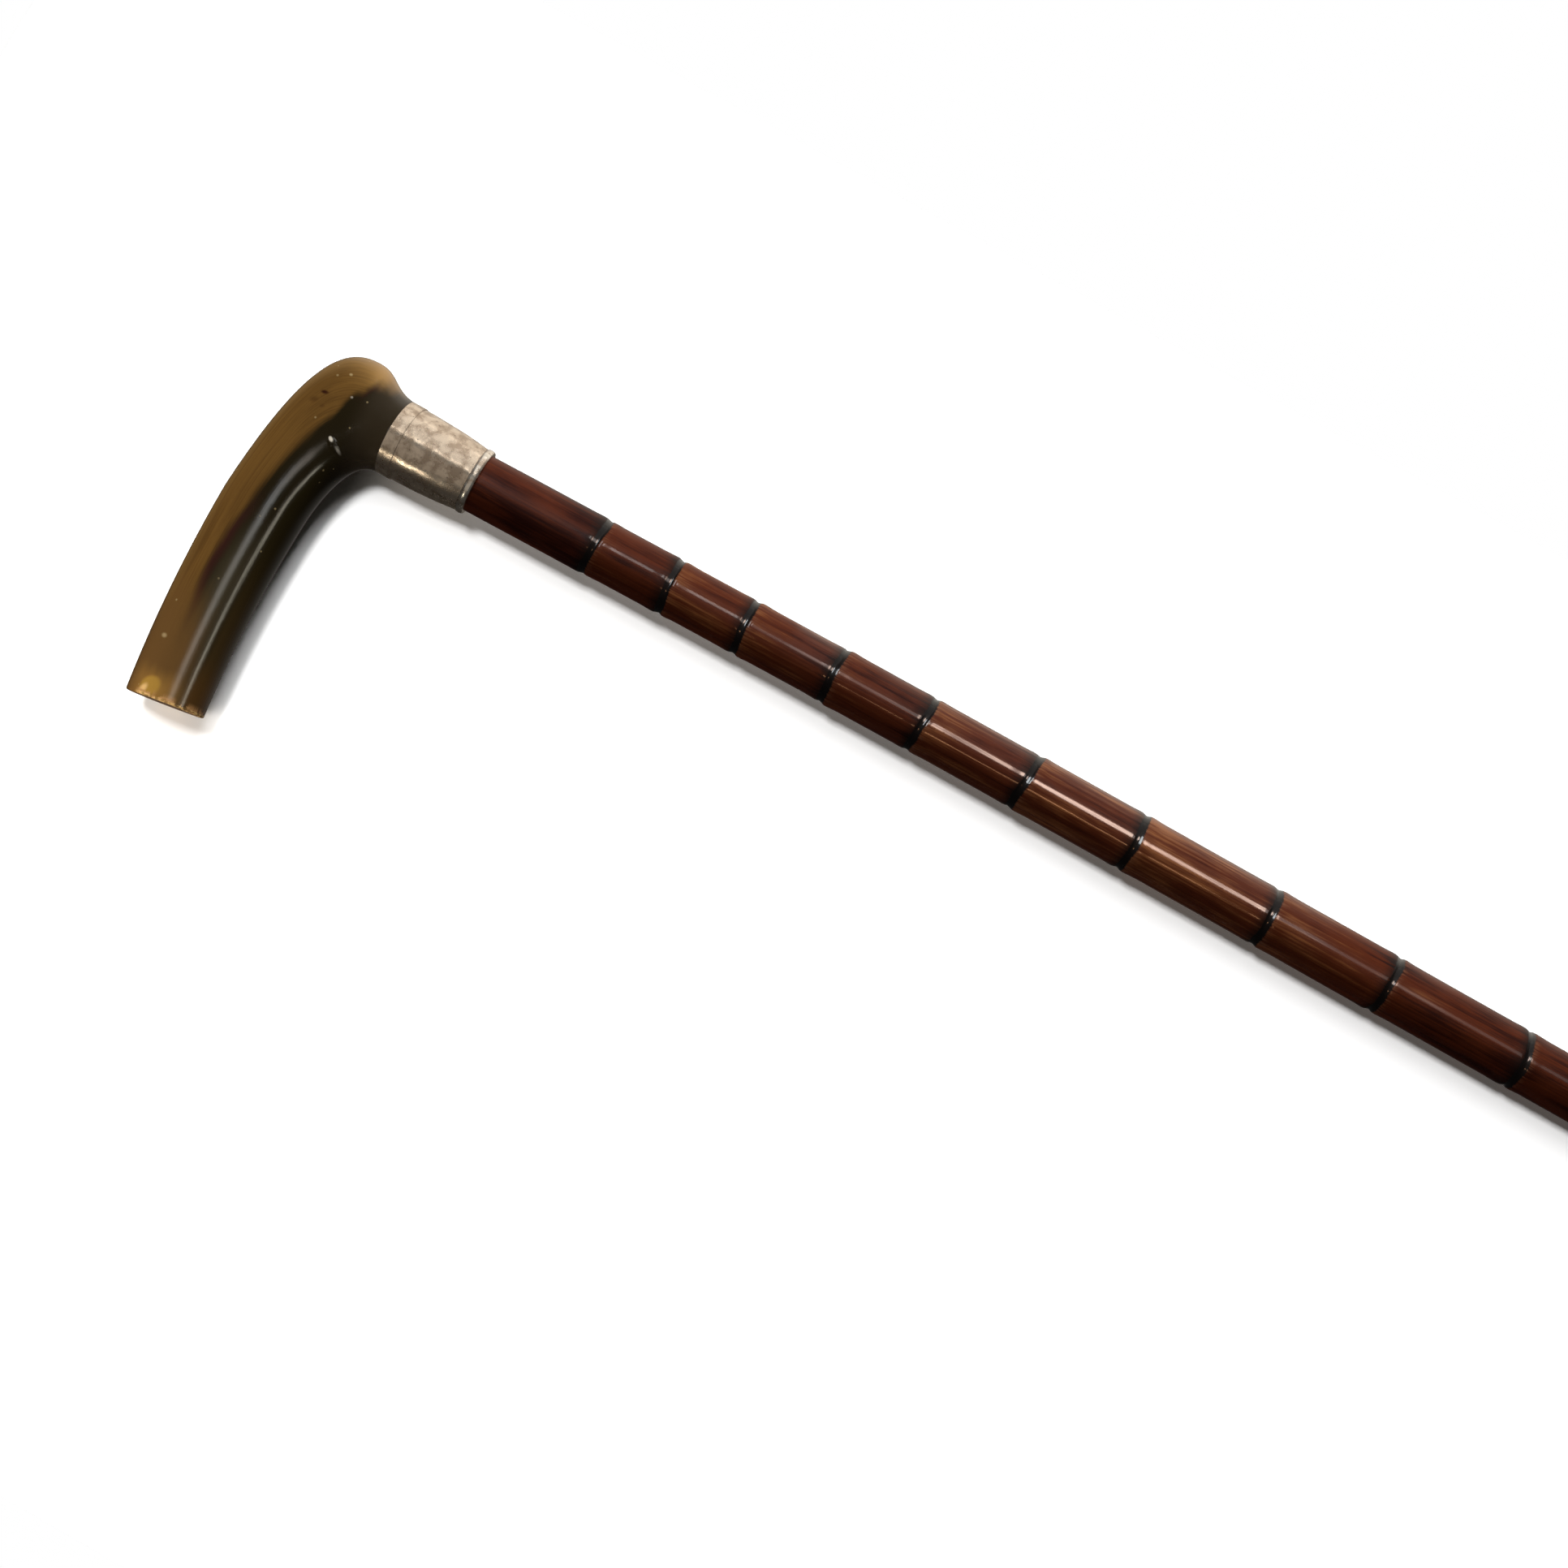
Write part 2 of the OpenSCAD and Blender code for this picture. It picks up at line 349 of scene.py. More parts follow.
    def spot(self, vector: Value, centre: Sequence[float], size: Sequence[float],
             angle: float, hard: float) -> Signal:
        """Mask one oval patch of the surface.

        Args:
            vector: Coordinates in metres.
            centre: Middle of the patch, in millimetres.
            size: Half-sizes of the patch along its own axes, in millimetres.
            angle: Angle about Z of the patch's length, in degrees.
            hard: Share of the patch over which the mask stays at 1.

        Returns:
            The mask, 1 in the patch and 0 outside.
        """
        local = self.moved(vector, [per(s) for s in size], [c * MM for c in centre], angle)
        reach = self.add("ShaderNodeVectorMath", {"operation": "LENGTH"}, {0: local})
        return Signal(self, reach.outputs["Value"]).rise(1.0, hard)

    def bump(self, height: Value, distance: float, strength: float = 1.0) -> None:
        """Feed the shader's normal from a height pattern.

        Args:
            height: The pattern, from 0 to 1.
            distance: How deep the pattern goes, in millimetres.
            strength: Share of the effect that is kept.
        """
        node = self.add("ShaderNodeBump", None,
                        {"Height": height, "Distance": distance * MM, "Strength": strength})
        self.plug(self.shader.inputs["Normal"], node.outputs["Normal"])

    def dress(self, **sockets: Value) -> Union[bpy.types.Material, bpy.types.World]:
        """Set or feed the shader's sockets, named with underscores for spaces.

        Args:
            sockets: Value or link of each socket.

        Returns:
            The finished material or world.
        """
        for name, value in sockets.items():
            self.plug(self.shader.inputs[name.replace("_", " ")], value)
        return self.owner


@dataclass(frozen=True)
class HornGrain:
    """What the horn's colour is worked out from.

    The handle's mesh carries these marks: along runs from 0 at the collar over 1 at the
    knuckle to 3 at the grip's end, across from -1 at the back to 1 inside, inside is how
    far across a point lies past the border of the dark core, and depth runs from 0 at the
    edge of the end face to 1 at its middle.
    """

    bench: Bench
    place: Signal
    along: Signal
    across: Signal
    inside: Signal
    depth: Signal
    cloud: Signal
    hair: Signal

    @classmethod
    def read(cls, bench: Bench) -> "HornGrain":
        """Read the mesh's marks and lay the two patterns that follow them.

        Args:
            bench: Node tree of the horn's material.

        Returns:
            The marks and the patterns.
        """
        place, along, across = bench.place(), bench.mark("along"), bench.mark("across")
        high = bench.parts(place)[2]
        cloud = bench.noise(bench.join(across * 2.2, along * 1.4, high * 70.0), 1.3, 3.0)
        hair = bench.noise(bench.join(across * 30.0, along * 1.6, high * 500.0), 1.5, 4.0, 0.6)
        return cls(bench, place, along, across, bench.mark("core"), bench.mark("depth"),
                   cloud, hair)


@dataclass(frozen=True)
class Blemish:
    """One oval mark of this horn, seen from above, in millimetres and degrees."""

    centre: tuple[float, float]
    size: tuple[float, float]
    angle: float
    hard: float
    share: float
    tone: Colour


@dataclass(frozen=True)
class HornFinish:
    """Polished two-tone horn: honey along the back, dark greenish brown inside."""

    honey: Colour = (0.148, 0.074, 0.0178)
    # Colour of painted light along the outer edge of the back.
    rim: Colour = (0.25, 0.140, 0.042)
    # Colour of painted light and glow on the knuckle's crown.
    gold: Colour = (0.36, 0.200, 0.060)
    umber: Colour = (0.082, 0.039, 0.0100)
    core: Colour = (0.0150, 0.0105, 0.0042)
    inner: Colour = (0.0170, 0.0115, 0.0030)
    lit_inner: Colour = (0.052, 0.030, 0.0095)
    # Colour of a painted sheen between the grip's highlight streaks.
    olive_sheen: Colour = (0.050, 0.039, 0.0210)
    neck: Colour = (0.030, 0.0215, 0.0120)
    fringe: Colour = (0.034, 0.0120, 0.0085)
    # Pale colour of the painted glints in the throat's two pits, and of a small pale speck near
    # the neck.
    glint_and_speck: Colour = (0.75, 0.68, 0.56)
    tip: Colour = (0.130, 0.066, 0.0200)
    # Colour of a painted glow of light through the thin horn before the grip's end.
    amber_glow: Colour = (0.36, 0.185, 0.042)
    patch: Colour = (0.42, 0.235, 0.042)
    # Colour of a painted glow of light through the horn, inside the end's patch and along its
    # brink.
    glow: Colour = (0.78, 0.50, 0.190)
    bare: Colour = (0.52, 0.27, 0.100)
    flaw: Colour = (0.024, 0.0050, 0.0030)
    speck: Colour = (0.50, 0.38, 0.19)
    blemishes: tuple = (
        Blemish((-876.4, -98.2), (4.0, 3.3), 60.0, 0.60, 0.85, patch),
        # Painted glow of light through the horn, inside the patch.
        Blemish((-877.9, -99.9), (2.6, 1.4), 75.0, 0.25, 0.95, glow),
        Blemish((-880.3, -83.7), (1.2, 1.0), 0.0, 0.20, 0.55, speck),
        Blemish((-875.9, 0.1), (1.7, 0.85), 12.0, 0.30, 0.92, flaw),
        Blemish((-877.6, -3.2), (2.2, 1.5), 30.0, 0.00, 0.45, flaw),
        Blemish((-874.3, -3.9), (1.3, 0.9), 30.0, 0.00, 0.40, flaw),
        # Painted highlights: the next two marks are glints of light caught in two pits at the
        # throat; the third is a small pale speck.
        Blemish((-867.3, -11.1), (1.15, 0.75), -35.0, 0.45, 1.00, glint_and_speck),
        Blemish((-864.2, -12.9), (1.7, 0.7), -30.0, 0.10, 0.30, glint_and_speck),
        Blemish((-868.1, 2.4), (0.65, 0.55), 0.0, 0.30, 0.35, glint_and_speck),
        Blemish((-872.2, 8.4), (0.75, 0.60), 0.0, 0.30, 0.55, speck),
        Blemish((-875.6, 6.4), (0.55, 0.50), 0.0, 0.30, 0.35, speck))
    blemish_z: float = 9.5
    blemish_depth: float = 6.0
    pitted: tuple = ((-865.9, -12.2, 10.0), (2.9, 1.6, 6.0), -35.0, 0.1)

    def material(self) -> bpy.types.Material:
        """Build the material.

        Returns:
            The horn material, which reads the marks that the handle's mesh carries.
        """
        bench = Bench(bpy.data.materials.new("polished_horn"))
        grain = HornGrain.read(bench)
        ragged = grain.inside + (grain.cloud - 0.5) * 0.16 + (grain.hair - 0.5) * 0.05
        border = (ragged - 0.01) * (1.0 - grain.along.rise(1.2, 0.6) * 0.62)
        colour = bench.mix(border.rise(-0.11, 0.11), self._honey(grain),
                           self._dark(grain, ragged))
        for layer in (self._tipped, self._blemished, self._rimmed, self._faced, self._dusted):
            colour = layer(grain, colour)
        grit = bench.noise(grain.place, per(0.9), 3.0, 0.7)
        bench.bump(grit * bench.spot(grain.place, *self.pitted) + grain.hair * 0.04, 0.7, 0.6)
        return bench.dress(Base_Color=colour, Roughness=0.12 + grain.hair * 0.07, IOR=1.5)

    def _honey(self, grain: HornGrain) -> Signal:
        """Give the colour of the back, with its veins, a pale outer edge of painted light and a
        knuckle of painted light and glow.

        Args:
            grain: The horn's marks and patterns.

        Returns:
            The honey horn's colour.
        """
        mix, along, across = grain.bench.mix, grain.along, grain.across
        honey = mix(grain.cloud.rise(0.38, 0.66) * 0.45, self.honey, self.umber)
        honey = mix(grain.hair.rise(0.42, 0.68) * 0.65, honey, self.umber)
        # Painted light: the back's outer edge turns paler, as where light catches it.
        honey = mix(across.rise(-0.62, -0.97) * 0.8, honey, self.rim)
        veins = across.rise(-0.6, -0.9) * grain.hair.rise(0.45, 0.65)
        honey = mix(veins * 0.3, honey, self.umber)
        # Painted light: the knuckle's crown turns gold where light falls on it and shines through
        # the horn.
        knuckle = along.hill(0.70, 0.62) * across.rise(-0.25, -0.80)
        return mix(knuckle * (grain.cloud * 0.5 + 0.6), honey, self.gold)

    def _dark(self, grain: HornGrain, ragged: Signal) -> Signal:
        """Give the colour of the inner side, with a painted sheen between its two highlight
        streaks.

        Args:
            grain: The horn's marks and patterns.
            ragged: Distance inside the uneven border.

        Returns:
            The dark horn's colour, with a reddish fringe along the border.
        """
        mix, along, across = grain.bench.mix, grain.along, grain.across
        dark = mix(along.rise(1.15, 0.55), self.core, self.neck)
        # Painted sheen: a grey-green reflection between the grip's two highlight streaks.
        dark = mix(along.rise(1.95, 2.45) * across.hill(0.33, 0.62), dark, self.olive_sheen)
        dark = mix(across.rise(0.52, 0.78) * along.rise(0.8, 1.6), dark, self.inner)
        dark = mix(across.rise(0.62, 0.80) * along.rise(2.0, 2.9), dark, self.lit_inner)
        dark = mix(across.rise(0.40, 0.75) * along.rise(2.7, 2.95), dark, self.umber)
        on_grip = along.rise(1.9, 2.2) * along.rise(2.75, 2.5)
        dark = mix(ragged.hill(0.10, 0.20) * on_grip, dark, self.fringe)
        on_knuckle = ragged.hill(0.10, 0.16) * along.hill(0.8, 0.3)
        return mix(on_knuckle * 0.7, dark, self.fringe)

    def _tipped(self, grain: HornGrain, colour: Signal) -> Signal:
        """Turn the horn paler towards the grip's end, and paint a glow of light through the thin
        horn just before it.

        Args:
            grain: The horn's marks and patterns.
            colour: The colour so far.

        Returns:
            The colour with this layer on it.
        """
        mix, along, across, cloud = grain.bench.mix, grain.along, grain.across, grain.cloud - 0.5
        ending = (along + cloud * 0.35 - across * 0.12).rise(2.36, 2.82)
        colour = mix(ending * across.rise(0.75, 0.15), colour, self.tip)
        # Painted glow: light shining through the thin horn just before the end.
        thin_end_glow = (along + cloud * 0.10).rise(2.84, 2.95)
        return mix(thin_end_glow * across.hill(-0.15, 0.90) * 0.75, colour, self.amber_glow)

    def _blemished(self, grain: HornGrain, colour: Signal) -> Signal:
        """Add the single marks of this horn.

        Args:
            grain: The horn's marks and patterns.
            colour: The colour so far.

        Returns:
            The colour with this layer on it.
        """
        for mark in self.blemishes:
            spot = grain.bench.spot(grain.place, (*mark.centre, self.blemish_z),
                                    (*mark.size, self.blemish_depth), mark.angle, mark.hard)
            colour = grain.bench.mix(spot * mark.share, colour, mark.tone)
        return colour

    def _rimmed(self, grain: HornGrain, colour: Signal) -> Signal:
        """Rub the edge of the grip's end pale, but for its back, and paint a glow of light along
        its very brink.

        Args:
            grain: The horn's marks and patterns.
            colour: The colour so far.

        Returns:
            The colour with this layer on it.
        """
        mix, along, across = grain.bench.mix, grain.along, grain.across
        seen = across.rise(-0.62, -0.42)
        rim = along.rise(2.955, 2.985) * (grain.cloud + grain.hair * 0.6).rise(0.66, 0.84)
        colour = mix(rim * seen * 0.6, colour, self.bare)
        nicks = grain.bench.noise(grain.place, per(1.3), 2.0).rise(0.45, 0.53)
        edge = along.rise(2.974, 2.984) * nicks * (1.0 - across.rise(0.3, 0.9) * 0.45)
        colour = mix(edge * seen, colour, self.bare)
        # Painted glow: light through the horn along the very brink of the end.
        brink_glow = along.rise(2.987, 2.9905) * (nicks * 0.85 + 0.15)
        return mix(brink_glow * seen, colour, self.glow)

    def _faced(self, grain: HornGrain, colour: Signal) -> Signal:
        """Show the horn's layers on the end face.

        Args:
            grain: The horn's marks and patterns.
            colour: The colour so far.

        Returns:
            The colour with this layer on it.
        """
        bench, depth = grain.bench, grain.depth
        swirl = bench.noise(grain.place, per(9.0), 1.0)
        layers = bench.noise(bench.join(depth * 4.0 + swirl * 2.0, swirl, 0.0), 1.5, 1.0)
        face = bench.mix(layers.rise(0.25, 0.75) * 0.35 + 0.45, self.bare, self.tip)
        face = bench.mix((depth + (swirl - 0.5) * 0.7).rise(0.20, 0.75) * 0.8, face, self.umber)
        return bench.mix(depth.rise(0.0, 0.10), colour, face)

    def _dusted(self, grain: HornGrain, colour: Signal) -> Signal:
        """Scatter small pale specks.

        Args:
            grain: The horn's marks and patterns.
            colour: The colour so far.

        Returns:
            The colour with this layer on it.
        """
        dust = grain.bench.cells(grain.place, per(4.2)).rise(0.10, 0.055)
        chosen = grain.bench.noise(grain.place, per(7.0), 1.0).rise(0.50, 0.58)
        return grain.bench.mix(dust * chosen * 0.35, colour, self.speck)


@dataclass(frozen=True)
class CaneFinish:
    """Varnished stepped cane: red-brown fibres, black stained nodes.

    The shaft's mesh carries these marks: before and after are the millimetres to the next
    node and from the last one, node_gap those to the nearest, share runs from 0 to 1 along
    each length between two nodes, tone is that length's lightness and gloss its varnish.
    """

    deep: Colour = (0.020, 0.0022, 0.0006)
    body: Colour = (0.080, 0.0140, 0.0030)
    warm: Colour = (0.230, 0.078, 0.0240)
    scar: Colour = (0.170, 0.075, 0.038)
    stain: Colour = (0.0055, 0.0036, 0.0030)
    least_gloss: float = 0.3

    def material(self) -> bpy.types.Material:
        """Build the material.

        Returns:
            The cane material, which reads the marks that the shaft's mesh carries.
        """
        bench = Bench(bpy.data.materials.new("varnished_cane"))
        mix, place = bench.mix, bench.place()
        fibre = bench.noise(bench.moved(place, (42.0, 1500.0, 1500.0)), 1.0, 4.0, 0.7)
        vein = bench.noise(bench.moved(place, (20.0, 420.0, 420.0)), 1.0, 3.0, 0.6)
        cloud = bench.noise(bench.moved(place, (60.0, 170.0, 170.0)), 1.0, 3.0)
        share, tone = bench.mark("share"), bench.mark("tone")
        faded = share.rise(0.55, 0.0) * 0.10 - share.rise(0.55, 1.0) * 0.10
        streaks = (fibre - 0.5) * 0.90 + (vein - 0.5) * 0.95 + (cloud - 0.5) * 0.70
        light = streaks * (tone + 0.5) + tone + faded
        colour = bench.ramp(light, [(0.10, self.deep), (0.48, self.body), (0.95, self.warm)])
        frayed = (cloud - 0.5) * 1.6 + (fibre - 0.5) * 1.8
        scars = (bench.mark("after") + frayed).rise(3.4, 1.4) * fibre.rise(0.45, 0.62)
        colour = mix(scars * 0.45, colour, self.scar)
        colour = mix((bench.mark("before") + frayed).rise(5.0, 0.6) * 0.8, colour, self.stain)
        node = (bench.mark("node_gap") + frayed * 0.5).rise(1.45, 0.95)
        colour = mix(node, colour, self.stain)
        bench.bump(fibre * 0.6 + vein * 0.4, 0.16, 0.55)
        varnish = bench.mark("gloss") * (fibre.rise(0.30, 0.62) * 0.55 + 0.45)
        for least in (node, self.least_gloss):
            varnish = bench.maths("MAXIMUM", varnish, least)
        return bench.dress(Base_Color=colour, Roughness=0.50 + (fibre - 0.5) * 0.2, IOR=1.5,
                           Specular_IOR_Level=0.08, Coat_Weight=varnish, Coat_Roughness=0.12)


@dataclass(frozen=True)
class MetalFinish:
    """Old metal with a patina that lies in clouds and small spots.

    polish is the least roughness, bare the share that shines as metal, wear how much
    rougher the dull clouds are, and cloud_size how wide they are in millimetres.
    """

    name: str
    bright: Colour
    dull: Colour
    spots: Colour
    polish: float
    bare: float = 1.0
    wear: float = 0.18
    cloud_size: float = 4.0

    def material(self) -> bpy.types.Material:
        """Build the material.

        Returns:
            The metal material.
        """
        bench = Bench(bpy.data.materials.new(self.name))
        place = bench.place()
        cloud = bench.noise(place, per(self.cloud_size), 4.0, 0.60, 0.2)
        grain = bench.noise(place, per(0.5), 4.0, 0.65)
        pits = bench.cells(place, per(1.4)).rise(0.30, 0.12)
        colour = bench.mix(cloud.rise(0.36, 0.62), self.dull, self.bright)
        colour = bench.mix(pits * grain.rise(0.5, 0.66), colour, self.spots)
        bench.bump(grain * 0.4 + cloud * 0.6, 0.06, 0.5)
        rough = self.polish + self.wear * cloud.rise(0.7, 0.3) + 0.08 * grain
        return bench.dress(Base_Color=colour, Metallic=self.bare, Roughness=rough)


@dataclass(frozen=True)
class FloorFinish:
    """Plain pale floor of the studio."""

    shade: float = 0.90

    def material(self) -> bpy.types.Material:
        """Build the material.

        Returns:
            The floor material.
        """
        bench = Bench(bpy.data.materials.new("pale_floor"))
        white = (self.shade, self.shade, self.shade)
        return bench.dress(Base_Color=white, Roughness=0.9, Specular_IOR_Level=0.0)


def piece_from(mesh: bmesh.types.BMesh, name: str, material: bpy.types.Material,
               stands_for: str, crease: float = 40.0) -> bpy.types.Object:
    """Turn a finished bmesh into a piece of the cane.

    Args:
        mesh: The piece's mesh, in millimetres in the cane's frame.
        name: The piece's name.
        material: Its finish.
        stands_for: The CAD node that it replaces.
        crease: Angle above which an edge is drawn sharp, in degrees.

    Returns:
        The new object.
    """
    bmesh.ops.scale(mesh, vec=(MM, MM, MM), verts=mesh.verts)
    bmesh.ops.recalc_face_normals(mesh, faces=mesh.faces)
    data = bpy.data.meshes.new(name)
    mesh.to_mesh(data)
    mesh.free()
    data.shade_smooth()
    data.set_sharp_from_angle(angle=math.radians(crease))
    data.materials.append(material)
    piece = bpy.data.objects.new(name, data)
    bpy.context.scene.collection.objects.link(piece)
    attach(piece, BODY)
    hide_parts(stands_for)
    log.info("%s: %d faces", name, len(data.polygons))
    return piece


def turned(profile: Sequence[tuple[float, float]], steps: int) -> bmesh.types.BMesh:
    """Spin a profile about the shaft's axis.

    Args:
        profile: Pairs of station along X and radius, in millimetres.
        steps: Number of steps in the full turn.

    Returns:
        The new mesh.
    """
    merge_below = 1e-4
    mesh = bmesh.new()
    line = [mesh.verts.new((x, r, 0.0)) for x, r in profile]
    edges = [mesh.edges.new(pair) for pair in zip(line, line[1:])]
    bmesh.ops.spin(mesh, geom=[*line, *edges], cent=(0, 0, 0), axis=(1, 0, 0),
                   angle=math.tau, steps=steps, use_merge=True, use_duplicate=False)
    bmesh.ops.remove_doubles(mesh, verts=mesh.verts, dist=merge_below)
    return mesh


@dataclass(frozen=True)
class Plan:
    """Driving sizes that more than one sub-assembly is built to."""

    heel_thick: float = 4.0
    heel_plug: float = 8.0
    ferrule_len: float = 38.0
    ferrule_bore_r: float = 6.4
    shaft_len: float = 784.0
    shaft_top_d: float = 17.9
    shaft_low_d: float = 14.2
    collar_len: float = 28.1
    collar_top_d: float = 23.2
    collar_low_d: float = 20.1
    collar_swell: float = 2.6
    collar_wall: float = 0.5
    band_thick: float = 0.15
    bead_w: float = 2.4
    neck_depth: float = 8.0
    dowel_d: float = 6.0
    dowel_up: float = 24.0
    dowel_down: float = 38.0
    glue_pocket: float = 0.3
    fit_gap: float = 0.05

    @property
    def ferrule_low_x(self) -> float:
        """Give the station of the brass sleeve's lower edge."""
        return -self.heel_thick

    @property
    def ferrule_top_x(self) -> float:
        """Give the station of the brass sleeve's upper edge."""
        return self.ferrule_low_x - self.ferrule_len

    @property
    def bare_top_x(self) -> float:
        """Give the station where the bare shaft leaves the collar."""
        return self.ferrule_top_x - self.shaft_len

    @property
    def bead_x(self) -> float:
        """Give the station of the bead's upper edge."""
        return self.bare_top_x - self.bead_w

    @property
    def collar_x(self) -> float:
        """Give the station where the collar meets the horn."""
        return self.bare_top_x - self.collar_len

    @property
    def neck_x(self) -> float:
        """Give the station where horn and cane meet inside the collar."""
        return self.collar_x + self.neck_depth

    @property
    def tenon_r(self) -> float:
        """Give the radius of what fills the brass sleeve: the shaft's tenon and the plug."""
        return self.ferrule_bore_r - self.fit_gap

    @property
    def bore_r(self) -> float:
        """Give the radius of the dowel's bore."""
        return self.dowel_d / 2 + self.fit_gap

    def sleeve_r(self, x: float) -> float:
        """Give the outer radius of the collar's sleeve at a station.

        Args:
            x: The station along X.

        Returns:
            The radius, which is widest at the horn.
        """
        top = self.collar_top_d / 2 - self.band_thick - self.fit_gap
        share = min(1.0, max(0.0, (x - self.collar_x) / (self.bead_x - self.collar_x)))
        return top - (top - self.collar_low_d / 2) * share ** self.collar_swell

    def core_r(self, x: float) -> float:
        """Give the radius of what fills the collar's sleeve at a station."""
        return self.sleeve_r(x) - self.collar_wall - self.fit_gap


PLAN = Plan()


@dataclass(frozen=True)
class Ring:
    """One closed section of the horn, in the plane of its own line and Z.

    A fullness of 2 is an ellipse, and a higher one is squarer. The step is its place along
    the horn, from 0 at the collar to 3 at the grip's end, and 0 inside the collar too.
    """

    middle: Vector
    across: Vector
    half_w: float
    half_t: float
    fullness: float = 2.0
    step: float = 0.0

    def share(self, turn: float) -> float:
        """Give how far across the section a point lies, from -1 at the back to 1 inside."""
        return math.copysign(abs(math.cos(turn)) ** (2.0 / self.fullness), math.cos(turn))

    def point(self, turn: float) -> Vector:
        """Give the point at an angle round the section, from its inner side.

        Args:
            turn: The angle, with 0 at the inner side and a quarter turn at the top.

        Returns:
            The point on the section's edge.
        """
        high = math.copysign(abs(math.sin(turn)) ** (2.0 / self.fullness), math.sin(turn))
        return self.middle + self.across * (self.half_w * self.share(turn)) + Vector(
            (0.0, 0.0, self.half_t * high))

    def drawn_in(self, inset: float, ahead: float) -> "Ring":
        """Make a smaller section further along the grip.

        Args:
            inset: How far its edge moves inwards.
            ahead: How far it moves along the grip.

        Returns:
            The new section.
        """
        way = Vector((self.across.y, -self.across.x, 0.0))
        return replace(self, middle=self.middle + way * ahead,
                       half_w=max(0.0, self.half_w - inset), half_t=max(0.0, self.half_t - inset))


@dataclass
class Handle:
    """Horn handle: a bowed grip, a knuckle and a tenon in the collar."""

    plan: Plan = PLAN
    grip_drop: float = 102.6
    grip_w: float = 25.1
    grip_end_w: float = 23.4
    grip_thick: float = 23.0
    grip_end_thick: float = 21.6
    knuckle_fat: float = 0.4
    handle_reach: float = 35.8
    knuckle_rise: float = 16.9
    knuckle_back: float = 14.3
    bow_start: float = 36.3
    bow_r: float = 410.0
    end_slant: float = 8.5
    end_round: float = 0.6
    # The eased mouth of the bore, and how far the collar's edge stands out over the tenon's land
    neck_ease: float = 0.3
    neck_bevel: float = 0.15
    # How far each control point of the outline's curves lies from its end point
    neck_lead: tuple = (-7.4, 0.6)
    crown_lead_in: tuple = (6.0, 0.0)
    crown_lead_out: tuple = (-9.5, 0.0)
    back_lead: tuple = (2.2, 48.0)
    throat_lead: tuple = (-10.4, 0.0)
    throat_lead_in: tuple = (0.0, 2.2)
    throat_lag: float = 1.3
    grip_full: float = 2.2
    # How fine the mesh is
    sides: int = 96
    body_rings: int = 150
    edge_rings: int = 6
    face_rings: int = 8
    first_ring: float = 0.004
    merge_below: float = 1e-4
    # How deep the hand-carved unevenness goes, and the patterns that it follows
    carving: float = 0.10
    swell_scale: float = 0.055
    tool_scale: float = 0.4
    tool_share: float = 0.12
    # Border of the dark core: how far across it lies at each step along the horn
    core_line: tuple = ((0.0, -1.2), (0.15, -1.02), (0.4, -0.80), (0.7, -0.66), (1.0, -0.38),
                        (1.3, -0.03), (1.6, 0.05), (1.85, -0.01), (2.0, -0.06), (2.2, -0.20),
                        (2.4, -0.27), (2.6, -0.16), (3.0, 0.0))
    finish: HornFinish = field(default_factory=HornFinish)

    @staticmethod
    def _curve(points: Sequence[Vector], t: float) -> Vector:
        """Give the point at a share of a four-point curve.

        Args:
            points: Start, two control points and end.
            t: The share, from 0 at the start to 1 at the end.

        Returns:
            The point on the curve.
        """
        p, q, r, s = points
        u = 1.0 - t
        return p * u ** 3 + q * (3 * t * u * u) + r * (3 * t * t * u) + s * t ** 3

    @property
    def neck_r(self) -> float:
        """Give the horn's radius where it meets the collar."""
        return self.plan.collar_top_d / 2

    def _at(self, x: float, y: float) -> Vector:
        """Give a point of the grip's plane, with x measured from the collar's edge."""
        return Vector((self.plan.collar_x + x, y, 0.0))

    def _outer(self, v: float) -> Vector:
        """Give the back outline at a step: 0 to 1 knuckle, 1 to 2 back, 2 to 3 grip.

        Args:
            v: The step.

        Returns:
            The point on the outline, in the grip's plane.
        """
        top = self._at(0.0, self.neck_r)
        crown = self._at(-self.knuckle_back, self.knuckle_rise)
        back = self._at(-self.handle_reach, -self.bow_start)
        if v <= 1.0:
            return self._curve((top, top + Vector((*self.neck_lead, 0.0)),
                                crown + Vector((*self.crown_lead_in, 0.0)), crown), v)
        if v <= 2.0:
            return self._curve((crown, crown + Vector((*self.crown_lead_out, 0.0)),
                                back + Vector((*self.back_lead, 0.0)), back), v - 1.0)
        depth = (v - 2.0) * (self.grip_drop - self.bow_start)
        bow = self.bow_r - math.sqrt(self.bow_r ** 2 - depth ** 2)
        return back + Vector((bow, -depth, 0.0))

    def _inner(self, v: float) -> Vector:
        """Give the inner outline at the same step.

        Args:
            v: The step.

        Returns:
            The point across the horn from the back outline's.
        """
        if v <= 2.0:
            low = self._at(0.0, -self.neck_r)
            throat = self._at(self.grip_w - self.handle_reach, -self.bow_start)
            return self._curve((low, low + Vector((*self.throat_lead, 0.0)),
                                throat + Vector((*self.throat_lead_in, 0.0)), throat),
                               (v / 2.0) ** self.throat_lag)
        width = self.grip_w + (self.grip_end_w - self.grip_w) * (v - 2.0)
        slant = math.radians(self.end_slant * (v - 2.0))
        return self._outer(v) + Vector((math.cos(slant), math.sin(slant), 0.0)) * width

